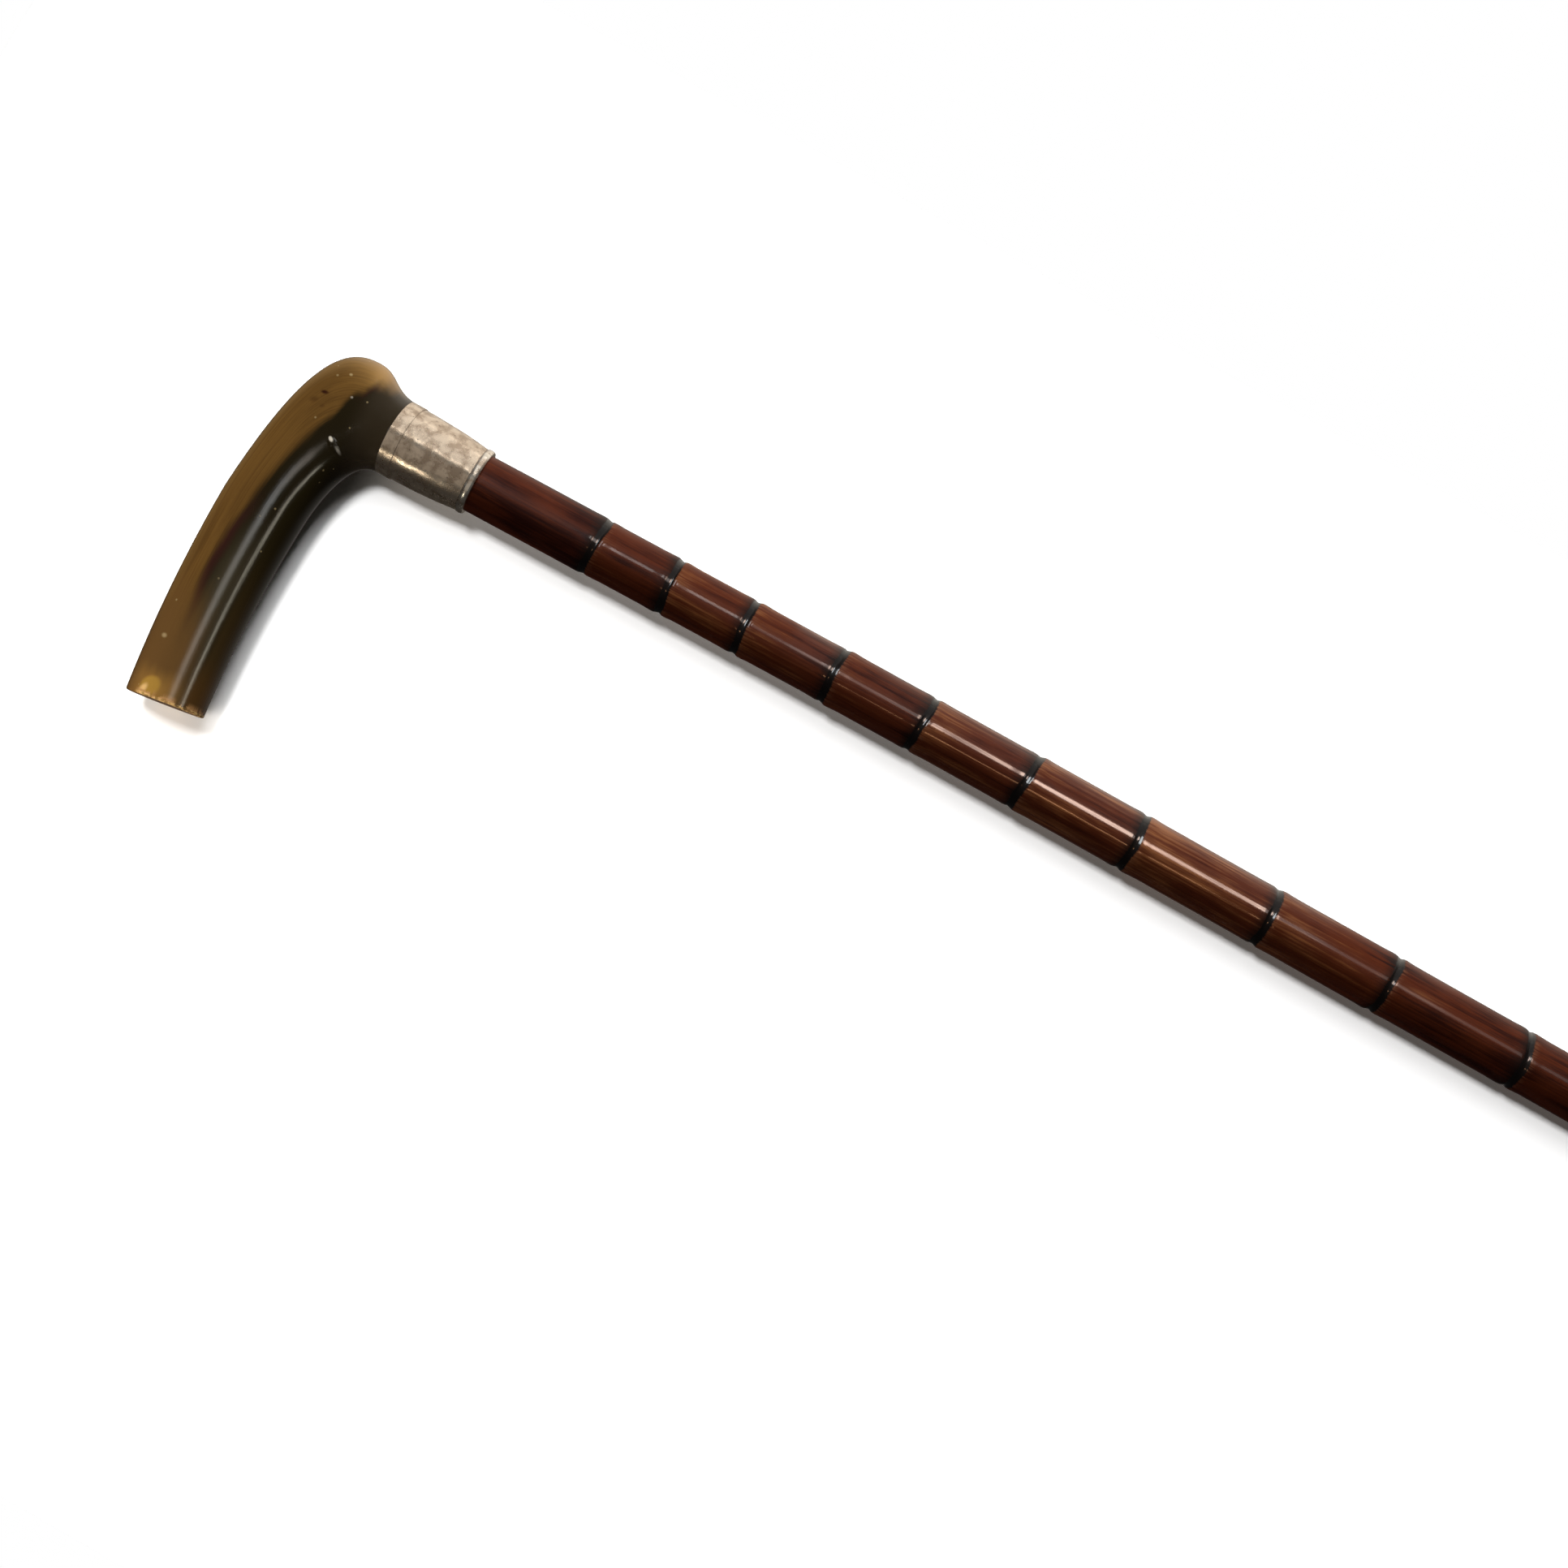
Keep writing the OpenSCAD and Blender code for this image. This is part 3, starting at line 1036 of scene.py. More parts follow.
    def _section(self, v: float) -> Ring:
        """Make the section of the horn at a step of its outline.

        Args:
            v: The step.

        Returns:
            The section between the two outlines there.
        """
        p, q = self._outer(v), self._inner(v)
        if v <= 2.0:
            half_t = (self.neck_r + (self.grip_thick / 2 - self.neck_r) * smooth(0, 2, v)
                      + self.knuckle_fat * math.sin(math.pi * v / 2) ** 2)
        else:
            half_t = (self.grip_thick + (self.grip_end_thick - self.grip_thick) * (v - 2)) / 2
        full = 2.0 + (self.grip_full - 2.0) * smooth(0, 2, v)
        return Ring((p + q) / 2, (q - p).normalized(), (q - p).length / 2, half_t, full, v)

    @staticmethod
    def _round(x: float, r: float) -> Ring:
        """Make a round section about the shaft's axis, for the tenon and its bore."""
        return Ring(Vector((x, 0.0, 0.0)), Vector((0.0, -1.0, 0.0)), r, r)

    def _neck_rings(self) -> list[Ring]:
        """List the sections from the bore's blind end over the tenon to the collar's edge.

        Returns:
            The sections, in order.
        """
        plan, ease, low, top = self.plan, self.neck_ease, self.plan.neck_x, self.plan.collar_x
        middle, blind = (low + top) / 2, low - plan.dowel_up - plan.glue_pocket
        return [self._round(x, r) for x, r in (
            (blind, 0.0), (blind, plan.bore_r), (low - ease, plan.bore_r),
            (low, plan.bore_r + ease), (low, plan.core_r(low) - ease),
            (low - ease, plan.core_r(low)), (middle, plan.core_r(middle)),
            (top, plan.core_r(top)), (top, self.neck_r - self.neck_bevel))]

    def _body_rings(self) -> list[Ring]:
        """List the sections of the bare horn, up to the edge of its end face.

        Returns:
            The sections, in order.
        """
        end = 3.0 - self.end_round / (self.grip_drop - self.bow_start)
        return [self._section(end * max(self.first_ring, share))
                for share in spread(0.0, 1.0, self.body_rings)]

    def _end_rings(self, last: Ring) -> list[Ring]:
        """List the sections round the edge of the end face and in to its middle.

        Args:
            last: The last section of the bare horn.

        Returns:
            The sections, in order, the last of them without any width.
        """
        rings = [last.drawn_in(self.end_round * (1 - math.cos(turn)),
                               self.end_round * math.sin(turn))
                 for turn in spread(0.0, math.pi / 2, self.edge_rings)[1:]]
        flat = rings[-1]
        return rings + [replace(flat, half_w=flat.half_w * keep, half_t=flat.half_t * keep)
                        for keep in spread(1.0, 0.0, self.face_rings)[1:]]

    def _carve(self, point: Vector, middle: Vector) -> Vector:
        """Draw a point in a little, as a hand-shaped surface varies.

        Args:
            point: A point on the horn.
            middle: Middle of its section.

        Returns:
            The moved point.
        """
        dent = (0.5 + 0.5 * noise.noise(point * self.swell_scale)
                + self.tool_share * noise.noise(point * self.tool_scale))
        return point + (middle - point).normalized() * (self.carving * max(0.0, dent))

    def build(self) -> bpy.types.Object:
        """Roll a grid over the sections and mark it for its finish.

        Returns:
            The horn handle.
        """
        rings = self._neck_rings() + self._body_rings()
        rings += self._end_rings(rings[-1])
        last = len(rings) - 1
        mesh = bmesh.new()
        bmesh.ops.create_grid(mesh, x_segments=self.sides, y_segments=last, size=0.5)
        marks = {name: mesh.verts.layers.float.new(name)
                 for name in ("along", "across", "core", "depth")}
        for vert in mesh.verts:
            number = round((vert.co.y + 0.5) * last)
            ring = rings[number]
            turn = math.tau * round((vert.co.x + 0.5) * self.sides) / self.sides
            vert.co = ring.point(turn)
            if ring.step > 0.0 and ring.half_w > 0.0:
                vert.co = self._carve(vert.co, ring.middle)
            across = ring.share(turn)
            vert[marks["along"]] = ring.step
            vert[marks["across"]] = across
            vert[marks["core"]] = across - between(self.core_line, ring.step)
            vert[marks["depth"]] = max(0.0, (number - last) / self.face_rings + 1.0)
        bmesh.ops.remove_doubles(mesh, verts=mesh.verts, dist=self.merge_below)
        return piece_from(mesh, "horn_handle", self.finish.material(), "handle")


@dataclass
class CaneNode:
    """One node of the cane, s millimetres below the collar, and the length that follows."""

    s: float
    slant: float
    turn: float
    wave: float
    tone: float
    gloss: tuple[float, float] = (0.5, 0.5)


@dataclass
class Shaft:
    """Stepped cane shaft with its seat in the collar, its nodes and its lower tenon."""

    plan: Plan = PLAN
    taper_power: float = 3.6
    # Lengths between the nodes from the collar down, and how much thicker each of them is
    node_gaps: tuple = (39.4, 24.5, 25.0, 29.6, 29.2, 33.9, 35.8, 44.1, 38.9, 43.6, 47.0, 50.0,
                        47.0, 54.0, 52.0, 58.0, 55.0, 60.0)
    length_fat: tuple = (0.0, -0.5, -0.9, -0.9, -0.4, -0.5, -0.1, 0.0, 0.2, 0.0, -0.2, -0.1, -0.3,
                         -0.1, -0.2, 0.0)
    # Lightness of the lengths that the photo shows, and their varnish at both ends
    seen_tones: tuple = (0.27, 0.39, 0.48, 0.46, 0.40, 0.52, 0.56, 0.60, 0.52, 0.34, 0.24)
    seen_gloss: tuple = ((0.0, 0.0), (0.0, 0.0), (0.0, 0.0), (0.0, 1.0), (0.5, 0.7), (0.9, 1.0),
                         (1.0, 1.0), (0.9, 1.0), (0.8, 0.3), (0.5, 0.1), (0.2, 0.2))
    # How far the axis strays, in one long wave and one half as long
    bow: float = 1.25
    bow_early: float = 0.2
    last_bare: float = 30.0
    # Each node is a groove between two swellings, all of them a little uneven
    groove_depth: float = 0.26
    groove_half: float = 1.10
    upper_swell: float = 0.12
    lower_swell: float = 0.20
    uneven: float = 0.35
    shoulder: tuple = (0.3, 1.4, 1.6)
    waves: tuple = (0.22, 0.12)
    fat_reach: float = 0.6
    node_reach: float = 6.0
    mark_reach: float = 9.0
    end_reach: float = 8.0
    bend: float = 0.05
    bend_scale: float = 0.03
    gloss_turns: tuple = (0.3, 0.6)
    clear: float = 0.01
    # Distances from each node and from the collar at which the profile has a point
    near_node: tuple = (0.0, 0.25, 0.5, 0.75, 1.0, 1.3, 1.7, 2.2, 2.9, 3.8, 4.8, 6.0)
    near_collar: tuple = (0.05, 0.4, 1.0)
    spacing: float = 5.0
    seat_rows: int = 5
    seed: int = 7
    steps: int = 88
    finish: CaneFinish = field(default_factory=CaneFinish)

    def __post_init__(self) -> None:
        """Place the nodes and give each its own slant, waves and tone."""
        chance = random.Random(self.seed)
        self.nodes: list[CaneNode] = []
        place = 0.0
        for gap in self.node_gaps:
            place += gap
            if place > self.plan.shaft_len - self.last_bare:
                break
            self.nodes.append(CaneNode(place, chance.uniform(0.25, 0.75),
                                       chance.uniform(0, math.tau), chance.uniform(0, math.tau),
                                       chance.uniform(0.38, 0.58)))
        for node, tone, gloss in zip(self.nodes, self.seen_tones[1:], self.seen_gloss[1:]):
            node.tone, node.gloss = tone, gloss

    def _radius(self, s: float) -> float:
        """Give the radius of the bare shaft at a distance below the collar.

        Args:
            s: The distance.

        Returns:
            The radius, from the taper and the length's own thickness.
        """
        plan = self.plan
        share = min(1.0, max(0.0, s / plan.shaft_len)) ** self.taper_power
        fat = self.length_fat[0]
        for node, low, high in zip(self.nodes, self.length_fat, self.length_fat[1:]):
            fat += (high - low) * smooth(-self.fat_reach, self.fat_reach, s - node.s)
        return (plan.shaft_top_d - (plan.shaft_top_d - plan.shaft_low_d) * share + fat) / 2

    def _bowed(self, s: float) -> float:
        """Give how far the real shaft's axis strays from a straight line."""
        turn = math.tau * s / self.plan.shaft_len
        return self.bow * math.sin(turn) + self.bow_early * math.sin(2 * turn)

    def _stations(self) -> list[float]:
        """List the distances below the collar where the profile has a point.

        Returns:
            The distances, in rising order.
        """
        found = {*self.near_collar, *(node.s + side * d for node in self.nodes
                                      for d in self.near_node for side in (-1, 1))}
        marks = sorted(found) + [self.plan.shaft_len]
        filled: list[float] = []
        for low, high in zip(marks, marks[1:]):
            filled += spread(low, high, max(1, math.ceil((high - low) / self.spacing)))[:-1]
        return filled + [self.plan.shaft_len]

    def _groove(self, gap: float, turn: float, node: CaneNode) -> float:
        """Give the change of radius at a gap from a node's middle line.

        Args:
            gap: The gap along the shaft, positive below the node.
            turn: Angle round the shaft.
            node: The node.

        Returns:
            The change, negative in the groove.
        """
        varied = math.sin(3 * turn + node.wave) * math.sin(turn + node.turn)
        cut = self.groove_depth * (1.0 + self.uneven * varied)
        swell = self.lower_swell if gap > 0 else self.upper_swell
        lump = swell * (0.8 + 0.2 * math.sin(turn * 2 + node.wave))
        first, full, last = self.shoulder
        rise = smooth(first, full, abs(gap)) * smooth(self.node_reach, last, abs(gap))
        return lump * rise - cut * math.exp(-(gap / self.groove_half) ** 2)

    def _wave(self, turn: float, node: CaneNode) -> float:
        """Give how far a node's line wanders along the shaft at an angle round it.

        Args:
            turn: Angle round the shaft.
            node: The node.

        Returns:
            The shift along X.
        """
        wide, narrow = self.waves
        return (node.slant * math.cos(turn - node.turn) + wide * math.cos(2 * turn + node.wave)
                + narrow * math.cos(5 * turn + 2 * node.wave))

    def _profile(self) -> list[tuple[float, float]]:
        """List the profile from the bore's blind end out to the end of the lower tenon.

        Returns:
            Pairs of station along X and radius.
        """
        plan = self.plan
        blind = plan.neck_x + plan.dowel_down + plan.glue_pocket
        low_x = plan.ferrule_low_x - plan.heel_plug
        seat = [(x, plan.core_r(x)) for x in spread(plan.neck_x, plan.bead_x, self.seat_rows)]
        return [(blind, 0.0), (blind, plan.bore_r), (plan.neck_x, plan.bore_r), *seat,
                (plan.bead_x, plan.shaft_top_d / 2),
                *((plan.bare_top_x + s, self._radius(s)) for s in self._stations()),
                (plan.ferrule_top_x, plan.tenon_r), (low_x, plan.tenon_r), (low_x, 0.0)]

    def build(self) -> bpy.types.Object:
        """Spin the profile, mark it for its finish and shape its nodes.

        Returns:
            The shaft.
        """
        mesh = turned(self._profile(), self.steps)
        marks = {name: mesh.verts.layers.float.new(name)
                 for name in ("before", "after", "node_gap", "share", "tone", "gloss")}
        for vert in mesh.verts:
            s = vert.co.x - self.plan.bare_top_x
            node = min(self.nodes, key=lambda one: abs(one.s - s))
            for name, value in self._marks(s, abs(s - node.s)).items():
                vert[marks[name]] = value
            radius = math.hypot(vert.co.y, vert.co.z)
            bare = 0.0 <= s <= self.plan.shaft_len - self.clear
            if bare and radius >= self.plan.tenon_r + self.clear:
                self._shape(vert, s, radius, node)
        return piece_from(mesh, "cane_shaft", self.finish.material(), "shaft",
                          crease=60.0)

    def _marks(self, s: float, gap: float) -> dict[str, float]:
        """Work out what the finish needs to know at one station.

        Args:
            s: Distance below the collar.
            gap: Distance to the nearest node.

        Returns:
            The value of each mark.
        """
        above = [node for node in self.nodes if node.s <= s]
        below = [node for node in self.nodes if node.s > s]
        start = above[-1].s if above else 0.0
        end = below[0].s if below else self.plan.shaft_len
        share = (s - start) / (end - start)
        first, last = above[-1].gloss if above else self.seen_gloss[0]
        return {"before": min(self.mark_reach, end - s) if below else self.mark_reach,
                "after": min(self.mark_reach, s - start) if above else self.mark_reach,
                "node_gap": min(self.mark_reach, gap), "share": share,
                "tone": above[-1].tone if above else self.seen_tones[0],
                "gloss": first + (last - first) * smooth(*self.gloss_turns, share)}

    def _shape(self, vert: bmesh.types.BMVert, s: float, radius: float, node: CaneNode) -> None:
        """Move one vertex of the bare shaft to the cane's real surface.

        Args:
            vert: The vertex.
            s: Its distance below the collar.
            radius: Its distance from the axis.
            node: The node nearest to it.
        """
        turn, gap = math.atan2(vert.co.z, vert.co.y), s - node.s
        near = smooth(self.node_reach, 0.0, abs(gap))
        ends = (smooth(0.0, self.end_reach, s)
                * smooth(0.0, self.end_reach, self.plan.shaft_len - s))
        round_it = Vector((s * self.bend_scale, math.cos(turn), math.sin(turn)))
        bend = self.bend * noise.noise(round_it)
        grown = radius + (self._groove(gap, turn, node) + bend) * ends
        vert.co = (vert.co.x + self._wave(turn, node) * near,
                   grown * math.cos(turn) + self._bowed(s), grown * math.sin(turn))


SILVER = MetalFinish("patinated_silver", (0.80, 0.66, 0.51), (0.47, 0.360, 0.262),
                     (0.07, 0.050, 0.036), 0.13, 0.75, 0.14, 3.4)
RUBBED = MetalFinish("rubbed_silver", (0.97, 0.89, 0.77), (0.62, 0.50, 0.39),
                     (0.09, 0.065, 0.045), 0.14, 0.8, 0.10, 2.6)
BRASS = MetalFinish("aged_brass", (0.62, 0.44, 0.19), (0.30, 0.19, 0.075),
                    (0.08, 0.05, 0.025), 0.26, 0.72)
IRON = MetalFinish("worn_iron", (0.30, 0.29, 0.28), (0.07, 0.062, 0.056),
                   (0.09, 0.035, 0.015), 0.38, 0.65)
STEEL = MetalFinish("plain_steel", (0.50, 0.50, 0.51), (0.30, 0.30, 0.31),
                    (0.12, 0.09, 0.07), 0.34)


@dataclass
class Collar:
    """Silver collar: a tapered sleeve, a flat band at the top and a bead at the bottom."""

    plan: Plan = PLAN
    band_w: float = 4.4
    bead_proud: float = 0.30
    dent: float = 0.05
    dent_base: float = 0.4
    dent_scale: float = 0.22
    ding_share: float = 0.5
    ding_scale: float = 0.7
    lean: float = 0.08
    band_ease: float = 0.07
    bead_ease: float = 0.35
    bead_round: float = 0.7
    sleeve_rows: int = 40
    band_rows: int = 8
    bead_rows: int = 14
    steps: int = 128
    finish: MetalFinish = SILVER
    bead_finish: MetalFinish = RUBBED

    def _dented(self, mesh: bmesh.types.BMesh) -> None:
        """Press soft dents into the outside of the sleeve.

        Args:
            mesh: The sleeve's mesh, which is changed.
        """
        for vert in mesh.verts:
            radius = math.hypot(vert.co.y, vert.co.z)
            if radius > self.plan.sleeve_r(vert.co.x) - self.plan.collar_wall / 2:
                depth = (self.dent_base + noise.noise(vert.co * self.dent_scale)
                         + self.ding_share * noise.noise(vert.co * self.ding_scale))
                shrink = 1.0 - self.dent * max(0.0, depth) / radius
                vert.co.y *= shrink
                vert.co.z *= shrink

    def _leaned(self, mesh: bmesh.types.BMesh) -> bmesh.types.BMesh:
        """Tilt the collar's lower end a little, as the old one stands.

        Args:
            mesh: The mesh of one of the collar's pieces, which is changed.

        Returns:
            The same mesh.
        """
        first = self.plan.collar_x + self.band_w
        for vert in mesh.verts:
            share = min(1.0, max(0.0, (vert.co.x - first) / (self.plan.bead_x - first)))
            vert.co.x += self.lean * vert.co.z * share
        return mesh

    def build(self) -> list[bpy.types.Object]:
        """Spin the three pieces.

        Returns:
            Sleeve, band and bead.
        """
        material = self.finish.material()
        return [self._sleeve(material), self._band(material),
                self._bead(self.bead_finish.material())]

    def _sleeve(self, material: bpy.types.Material) -> bpy.types.Object:
        """Spin the sleeve, with fine rings to hold its dents.

        Args:
            material: The silver.

        Returns:
            The sleeve.
        """
        plan = self.plan
        outside = [(x, plan.sleeve_r(x))
                   for x in spread(plan.collar_x, plan.bead_x, self.sleeve_rows)]
        inside = [(x, r - plan.collar_wall) for x, r in reversed(outside)]
        mesh = turned([*outside, *inside, outside[0]], self.steps)
        self._dented(mesh)
        return piece_from(self._leaned(mesh), "silver_sleeve", material,
                          "collar_sleeve")

    def _band(self, material: bpy.types.Material) -> bpy.types.Object:
        """Spin the band, with its edges eased.

        Args:
            material: The silver.

        Returns:
            The band.
        """
        plan, ease = self.plan, self.band_ease
        top_x, low_x = plan.collar_x, plan.collar_x + self.band_w
        lift = plan.fit_gap + plan.band_thick
        xs = spread(top_x + ease, low_x - ease, self.band_rows)
        profile = [(top_x, plan.sleeve_r(top_x) + plan.fit_gap),
                   (top_x, plan.sleeve_r(top_x) + lift - ease),
                   *((x, plan.sleeve_r(x) + lift) for x in xs),
                   (low_x, plan.sleeve_r(low_x) + lift - ease),
                   (low_x, plan.sleeve_r(low_x) + plan.fit_gap)]
        mesh = turned([*profile, profile[0]], self.steps)
        return piece_from(mesh, "silver_band", material, "collar_band")

    def _bead(self, material: bpy.types.Material) -> bpy.types.Object:
        """Spin the half-round bead.

        Args:
            material: The rubbed silver.

        Returns:
            The bead.
        """
        plan = self.plan
        bore_r = plan.shaft_top_d / 2 + plan.fit_gap
        edge_r = plan.collar_low_d / 2 - self.bead_ease
        height = self.bead_proud + self.bead_ease
        profile = [(plan.bead_x, bore_r),
                   *((plan.bead_x + plan.bead_w * (1 - math.cos(turn)) / 2,
                      edge_r + height * math.sin(turn) ** self.bead_round)
                     for turn in spread(0.0, math.pi, self.bead_rows)),
                   (plan.bare_top_x, bore_r)]
        mesh = self._leaned(turned([*profile, profile[0]], self.steps))
        return piece_from(mesh, "silver_bead", material, "collar_bead")


@dataclass
class Ferrule:
    """Foot of the cane: a brass sleeve, an iron heel and two pins."""

    plan: Plan = PLAN
    straight: float = 24.0
    sleeve_r: float = 7.2
    edge_r: float = 7.4
    ease: float = 0.15
    straight_from: float = 0.4
    pin_from_edge: float = 5.0
    pin_r: float = 0.7
    pin_len: float = 5.0
    pin_dome: float = 0.2
    pin_steps: int = 24
    dome_rows: int = 5
    heel_inset: float = 0.2
    heel_bevel: float = 0.7
    bevel_rows: int = 6
    steps: int = 96

    def build(self) -> list[bpy.types.Object]:
        """Spin the sleeve and the heel, and set the pins.

        Returns:
            Sleeve, heel and pins.
        """
        brass = BRASS.material()
        return [self._sleeve(brass), self._heel(IRON.material()), self._pins(brass)]

    def _sleeve(self, material: bpy.types.Material) -> bpy.types.Object:
        """Spin the brass sleeve, with eased edges.

        Args:
            material: The brass.

        Returns:
            The sleeve.
        """
        plan, ease = self.plan, self.ease
        low, top, bore_r = plan.ferrule_low_x, plan.ferrule_top_x, plan.ferrule_bore_r
        flare = low - self.straight
        profile = [(top, bore_r), (top, self.edge_r - ease), (top + ease, self.edge_r),
                   (flare, self.sleeve_r), (flare + self.straight_from, self.sleeve_r),
                   (low - ease, self.sleeve_r), (low, self.sleeve_r - ease), (low, bore_r),
                   (top, bore_r)]
        return piece_from(turned(profile, self.steps), "brass_sleeve", material,
                          "ferrule_sleeve", crease=25.0)

    def _heel(self, material: bpy.types.Material) -> bpy.types.Object:
        """Spin the iron heel, with its plug and its worn, bevelled ground face.

        Args:
            material: The iron.

        Returns:
            The heel.
        """
        plan, bevel, side = self.plan, self.heel_bevel, self.sleeve_r - self.heel_inset
        low, plug_x = plan.ferrule_low_x, plan.ferrule_low_x - plan.heel_plug
        profile = [(plug_x, 0.0), (plug_x, plan.tenon_r), (low, plan.tenon_r), (low, side),
                   *((-bevel * (1 - math.sin(turn)), side - bevel * (1 - math.cos(turn)))
                     for turn in spread(0.0, math.pi / 2, self.bevel_rows)), (0.0, 0.0)]
        return piece_from(turned(profile, self.steps), "iron_heel", material,
                          "ferrule_heel", crease=35.0)

    def _pins(self, material: bpy.types.Material) -> bpy.types.Object:
        """Set a domed pin on each side of the sleeve.

        Args:
            material: The brass.

        Returns:
            The two pins, as one piece.
        """
        x = self.plan.ferrule_top_x + self.pin_from_edge
        flared = self.plan.ferrule_len - self.straight
        outside = self.sleeve_r + (self.edge_r - self.sleeve_r) * (1 - self.pin_from_edge / flared)
        foot = self.sleeve_r - self.pin_len
        profile = [(foot, 0.0), (foot, self.pin_r), (outside, self.pin_r),
                   *((outside + self.pin_dome * math.sin(turn), self.pin_r * math.cos(turn))
                     for turn in spread(0.0, math.pi / 2, self.dome_rows)[1:])]
        mesh = bmesh.new()
        for side in (-1, 1):
            pin = turned(profile, self.pin_steps)
            bmesh.ops.rotate(pin, cent=(0, 0, 0), verts=pin.verts,
                             matrix=Matrix.Rotation(math.pi / 2 * side, 3, "Z"))
            bmesh.ops.translate(pin, vec=(x, 0, 0), verts=pin.verts)
            part = bpy.data.meshes.new("pin_part")
            pin.to_mesh(part)
            pin.free()
            mesh.from_mesh(part)
            bpy.data.meshes.remove(part)
        return piece_from(mesh, "brass_pins", material, "ferrule_pins")


WHITE = (1.0, 1.0, 1.0)
BEIGE = (1.0, 0.93, 0.85)
HANDLE = (-0.87, -0.04, 0.01)
COLLAR = (-0.836, 0.0, 0.01)
MIDDLE = (-0.65, 0.0, 0.01)
FOOT = (-0.02, 0.0, 0.0)


def posed(place: Point, side: Vector, back: Vector) -> Matrix:
    """Place a camera or a lamp, from its right side and what lies behind it."""
    turned_to = Matrix((side, back.cross(side), back)).transposed()
    return Matrix.Translation(place) @ turned_to.to_4x4()


@dataclass(frozen=True)
class Lamp:
    """One soft rectangular light, whose power follows from how bright its face looks."""

    name: str
    place: Point
    aim: Point
    size: tuple[float, float]
    glare: float
    colour: Colour
    use: Use = Use.MIRRORED
    reach: Reach = Reach.ALL

    def hang(self, groups: dict) -> bpy.types.Object:
        """Make the light, with its face turned to its aim and its sides level.

        Args:
            groups: Collection of the objects in each reach.

        Returns:
            The light.
        """
        data = bpy.data.lights.new(self.name, "AREA")
        data.shape = "RECTANGLE"
        data.size, data.size_y = self.size
        data.energy = math.pi * self.size[0] * self.size[1] * self.glare
        data.color = self.colour
        lamp = bpy.data.objects.new(self.name, data)
        back = (Vector(self.place) - Vector(self.aim)).normalized()
        side = Vector((1.0, 0.0, 0.0))
        side = (side - back * side.dot(back)).normalized()
        lamp.matrix_world = posed(self.place, side, back)
        lamp.visible_camera = False
        lamp.visible_glossy = self.use is Use.MIRRORED
        lamp.visible_diffuse = self.use is Use.SOFT
        if self.reach is not Reach.ALL:
            lamp.light_linking.receiver_collection = groups[self.reach]
        bpy.context.scene.collection.objects.link(lamp)
        return lamp


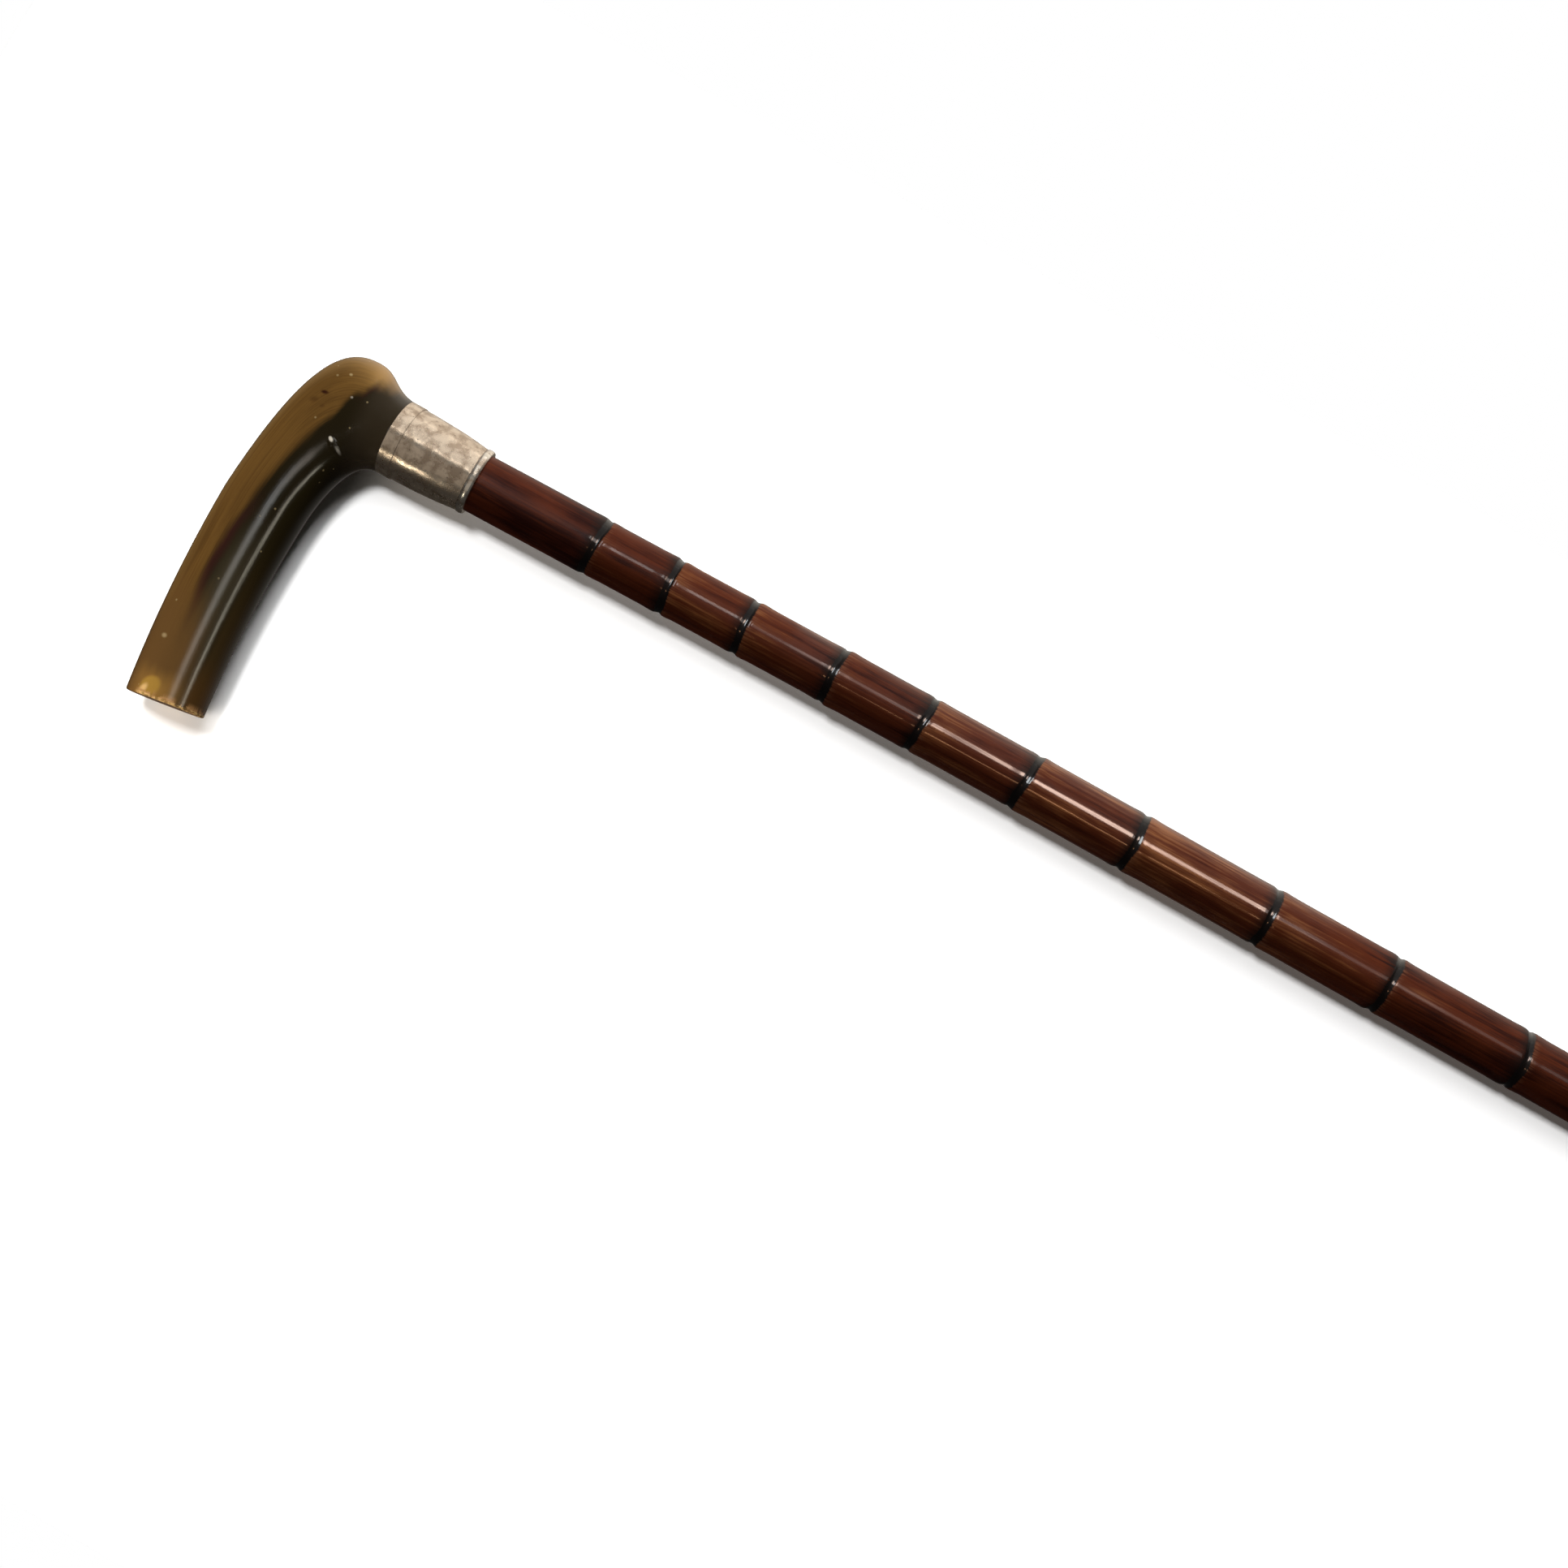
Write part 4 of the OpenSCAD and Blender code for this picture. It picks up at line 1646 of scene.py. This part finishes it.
@dataclass
class Studio:
    """Camera, floor and lights, at the photograph's viewing angle."""

    eye: Point = (-0.6830, -0.0931, 0.6799)
    target: Point = (-0.7049, -0.0335, 0.0)
    top_of_frame: Point = (-0.4866, 0.8688, 0.0919)
    lens: float = 54.04
    film_width: float = 36.0
    clip: tuple = (0.01, 50.0)
    # Where the room's glow comes from, and its colour by how near to there a ray points
    glow_side: Point = (0.05, 0.875, -0.482)
    glow: tuple = ((0.25, (0.014, 0.014, 0.014)), (0.70, (0.19, 0.175, 0.155)),
                   (0.95, (0.80, 0.74, 0.66)))
    # Stations and heights at which the cane touches the floor, and the floor's corners
    handle_rest: tuple = (-0.8710, -0.01197)
    tip_rest: tuple = (-0.0420, -0.0074)
    floor_x: tuple = (-1.02, 0.12)
    floor_y: tuple = (-0.32, 0.14)
    groups: dict = field(default_factory=dict)
    lamps: tuple = (
        Lamp("sky", (-0.94, 1.51, 1.28), MIDDLE, (0.80, 2.40), 9.5, WHITE, Use.SOFT),
        Lamp("floor_light", (-1.62, 0.56, 3.26), HANDLE, (0.60, 0.60), 90.0, WHITE,
             Use.SOFT, Reach.FLOOR),
        Lamp("floor_fill", (-1.20, -0.78, 0.42), HANDLE, (0.50, 0.50), 3.4, BEIGE,
             Use.SOFT, Reach.FLOOR),
        Lamp("end_fill", (-0.925, -0.165, 0.06), (-0.873, -0.110, -0.012), (0.06, 0.06), 8.0,
             BEIGE, Use.SOFT, Reach.FLOOR),
        Lamp("underglow", (-0.45, -1.30, -0.75), MIDDLE, (1.20, 0.50), 3.6, BEIGE, Use.SOFT),
        Lamp("bounce", (-1.35, -0.60, 0.12), HANDLE, (0.50, 0.20), 12.0, BEIGE,
             Use.SOFT, Reach.HORN),
        Lamp("end_glow", (-0.90, -0.32, 0.04), (-0.873, -0.11, 0.0), (0.10, 0.06), 11.0, BEIGE,
             Use.SOFT, Reach.HORN),
        Lamp("grip_upper", (-0.655, 0.065, 1.00), HANDLE, (0.22, 0.13), 3.8,
             (0.92, 0.98, 1.0), Use.MIRRORED, Reach.HORN),
        Lamp("grip_lower", (-0.655, -0.065, 1.00), HANDLE, (0.22, 0.13), 2.9,
             (1.0, 0.90, 0.78), Use.MIRRORED, Reach.HORN),
        Lamp("grip_strip", (-0.14, -0.05, 0.60), HANDLE, (0.11, 0.46), 5.6,
             (1.0, 0.93, 0.76), Use.MIRRORED, Reach.HORN),
        Lamp("shaft_panel", (-0.52, 0.23, 1.00), MIDDLE, (0.24, 0.24), 17.0,
             (1.0, 0.72, 0.58), Use.MIRRORED, Reach.CANE),
        Lamp("shaft_strip", (-0.47, 0.22, 1.00), MIDDLE, (0.74, 0.20), 3.4,
             (1.0, 0.86, 0.80), Use.MIRRORED, Reach.CANE),
        Lamp("node_strip", (-0.876, 0.23, 1.00), MIDDLE, (0.08, 0.17), 18.0,
             (1.0, 0.92, 0.88), Use.MIRRORED, Reach.CANE),
        Lamp("cane_sky", (-0.60, 0.85, 0.62), MIDDLE, (1.60, 1.30), 0.26, WHITE,
             Use.MIRRORED, Reach.CANE),
        Lamp("node_card", (-1.24, 0.22, 1.00), MIDDLE, (0.26, 0.50), 14.0,
             (0.90, 0.96, 1.0), Use.MIRRORED, Reach.CANE),
        Lamp("foot_sky", (0.10, 0.45, 0.80), FOOT, (1.20, 0.70), 0.9,
             (1.0, 0.97, 0.93), Use.MIRRORED, Reach.FOOT),
        Lamp("foot_card", (0.30, -0.60, 0.35), FOOT, (0.60, 0.30), 0.5,
             (1.0, 0.95, 0.88), Use.MIRRORED, Reach.FOOT),
        Lamp("gold_strip", (-0.57, -0.50, 1.00), MIDDLE, (0.30, 0.03), 16.0,
             (1.0, 0.50, 0.25), Use.MIRRORED, Reach.CANE),
        Lamp("collar_sky", (-1.00, 0.80, 0.60), COLLAR, (0.90, 1.40), 0.70,
             (1.0, 0.97, 0.93), Use.MIRRORED, Reach.SILVER),
        Lamp("collar_line", (-1.00, 0.27, 1.00), COLLAR, (0.60, 0.07), 3.2,
             (1.0, 0.97, 0.93), Use.MIRRORED, Reach.SILVER),
        Lamp("collar_dusk", (-1.00, -0.44, 0.90), COLLAR, (0.90, 0.95), 0.22,
             (1.0, 0.88, 0.74), Use.MIRRORED, Reach.SILVER),
        Lamp("collar_card", (-1.055, -0.91, 0.41), COLLAR, (0.08, 0.17), 9.0,
             (1.0, 0.93, 0.78), Use.MIRRORED, Reach.SILVER),
    )

    def camera(self) -> None:
        """Set the camera over the handle, turned as the photographer held it."""
        data = bpy.data.cameras.new("view")
        data.lens = self.lens
        data.sensor_width = self.film_width
        data.clip_start, data.clip_end = self.clip
        camera = bpy.data.objects.new("view", data)
        back = (Vector(self.eye) - Vector(self.target)).normalized()
        right = Vector(self.top_of_frame).cross(back).normalized()
        camera.matrix_world = posed(self.eye, right, back)
        bpy.context.scene.collection.objects.link(camera)
        bpy.context.scene.camera = camera

    def floor(self) -> bpy.types.Object:
        """Lay the floor so that it touches the handle and the ferrule from below.

        Returns:
            The floor.
        """
        (x0, z0), (x1, z1) = self.handle_rest, self.tip_rest
        slope = (z1 - z0) / (x1 - x0)
        mesh = bmesh.new()
        bmesh.ops.create_grid(mesh, x_segments=1, y_segments=1, size=0.5)
        for vert in mesh.verts:
            vert.co.x = self.floor_x[0] if vert.co.x < 0 else self.floor_x[1]
            vert.co.y = self.floor_y[0] if vert.co.y < 0 else self.floor_y[1]
            vert.co.z = z0 + (vert.co.x - x0) * slope
        data = bpy.data.meshes.new("floor")
        mesh.to_mesh(data)
        mesh.free()
        data.materials.append(FloorFinish().material())
        floor = bpy.data.objects.new("floor", data)
        for rays in ("glossy", "diffuse", "shadow"):
            setattr(floor, "visible_" + rays, False)
        bpy.context.scene.collection.objects.link(floor)
        return floor

    def lights(self) -> None:
        """Hang the soft lights and the panels that the polished surfaces mirror."""
        for reach in Reach:
            self.groups[reach] = bpy.data.collections.new("lit_" + reach.value)
        for lamp in self.lamps:
            lamp.hang(self.groups)
            log.info("light: %s", lamp.name)
        self._room()

    def light_up(self, reach: Reach, pieces: Iterable[bpy.types.Object]) -> None:
        """Put pieces in reach of the lamps that are linked to them."""
        for piece in pieces:
            self.groups[reach].objects.link(piece)

    def _room(self) -> None:
        """Light the room: dim, with a glow low behind the cane, and white to the camera."""
        room = Bench(bpy.data.worlds.new("room"))
        facing = room.add("ShaderNodeVectorMath", {"operation": "DOT_PRODUCT"},
                          {0: room.add("ShaderNodeTexCoord").outputs["Generated"],
                           1: self.glow_side})
        glow = room.ramp(facing.outputs["Value"], self.glow, "LINEAR")
        to_camera = room.add("ShaderNodeLightPath").outputs["Is Camera Ray"]
        bpy.context.scene.world = room.dress(Color=room.mix(to_camera, glow, WHITE))

    def build(self) -> None:
        """Set up the whole studio."""
        self.camera()
        self.lights()
        self.light_up(Reach.FLOOR, [self.floor()])
        bpy.context.scene.view_settings.view_transform = "Standard"
        log.info("studio: camera, floor and lights are set")


def dress_dowel() -> None:
    """Give the dowel, which is kept from the frame, its steel."""
    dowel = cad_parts["handle_dowel"]
    dowel.data.materials.clear()
    dowel.data.materials.append(STEEL.material())
    log.info("handle_dowel: kept from the frame, in plain steel")


def main() -> None:
    """Build the studio and every sub-assembly in order."""
    logging.basicConfig(level=logging.INFO, format="%(name)s: %(message)s")
    studio = Studio()
    studio.build()
    studio.light_up(Reach.HORN, [Handle().build()])
    studio.light_up(Reach.SILVER, Collar().build())
    studio.light_up(Reach.CANE, [Shaft().build()])
    studio.light_up(Reach.FOOT, Ferrule().build())
    dress_dowel()


if __name__ == "__main__":
    main()
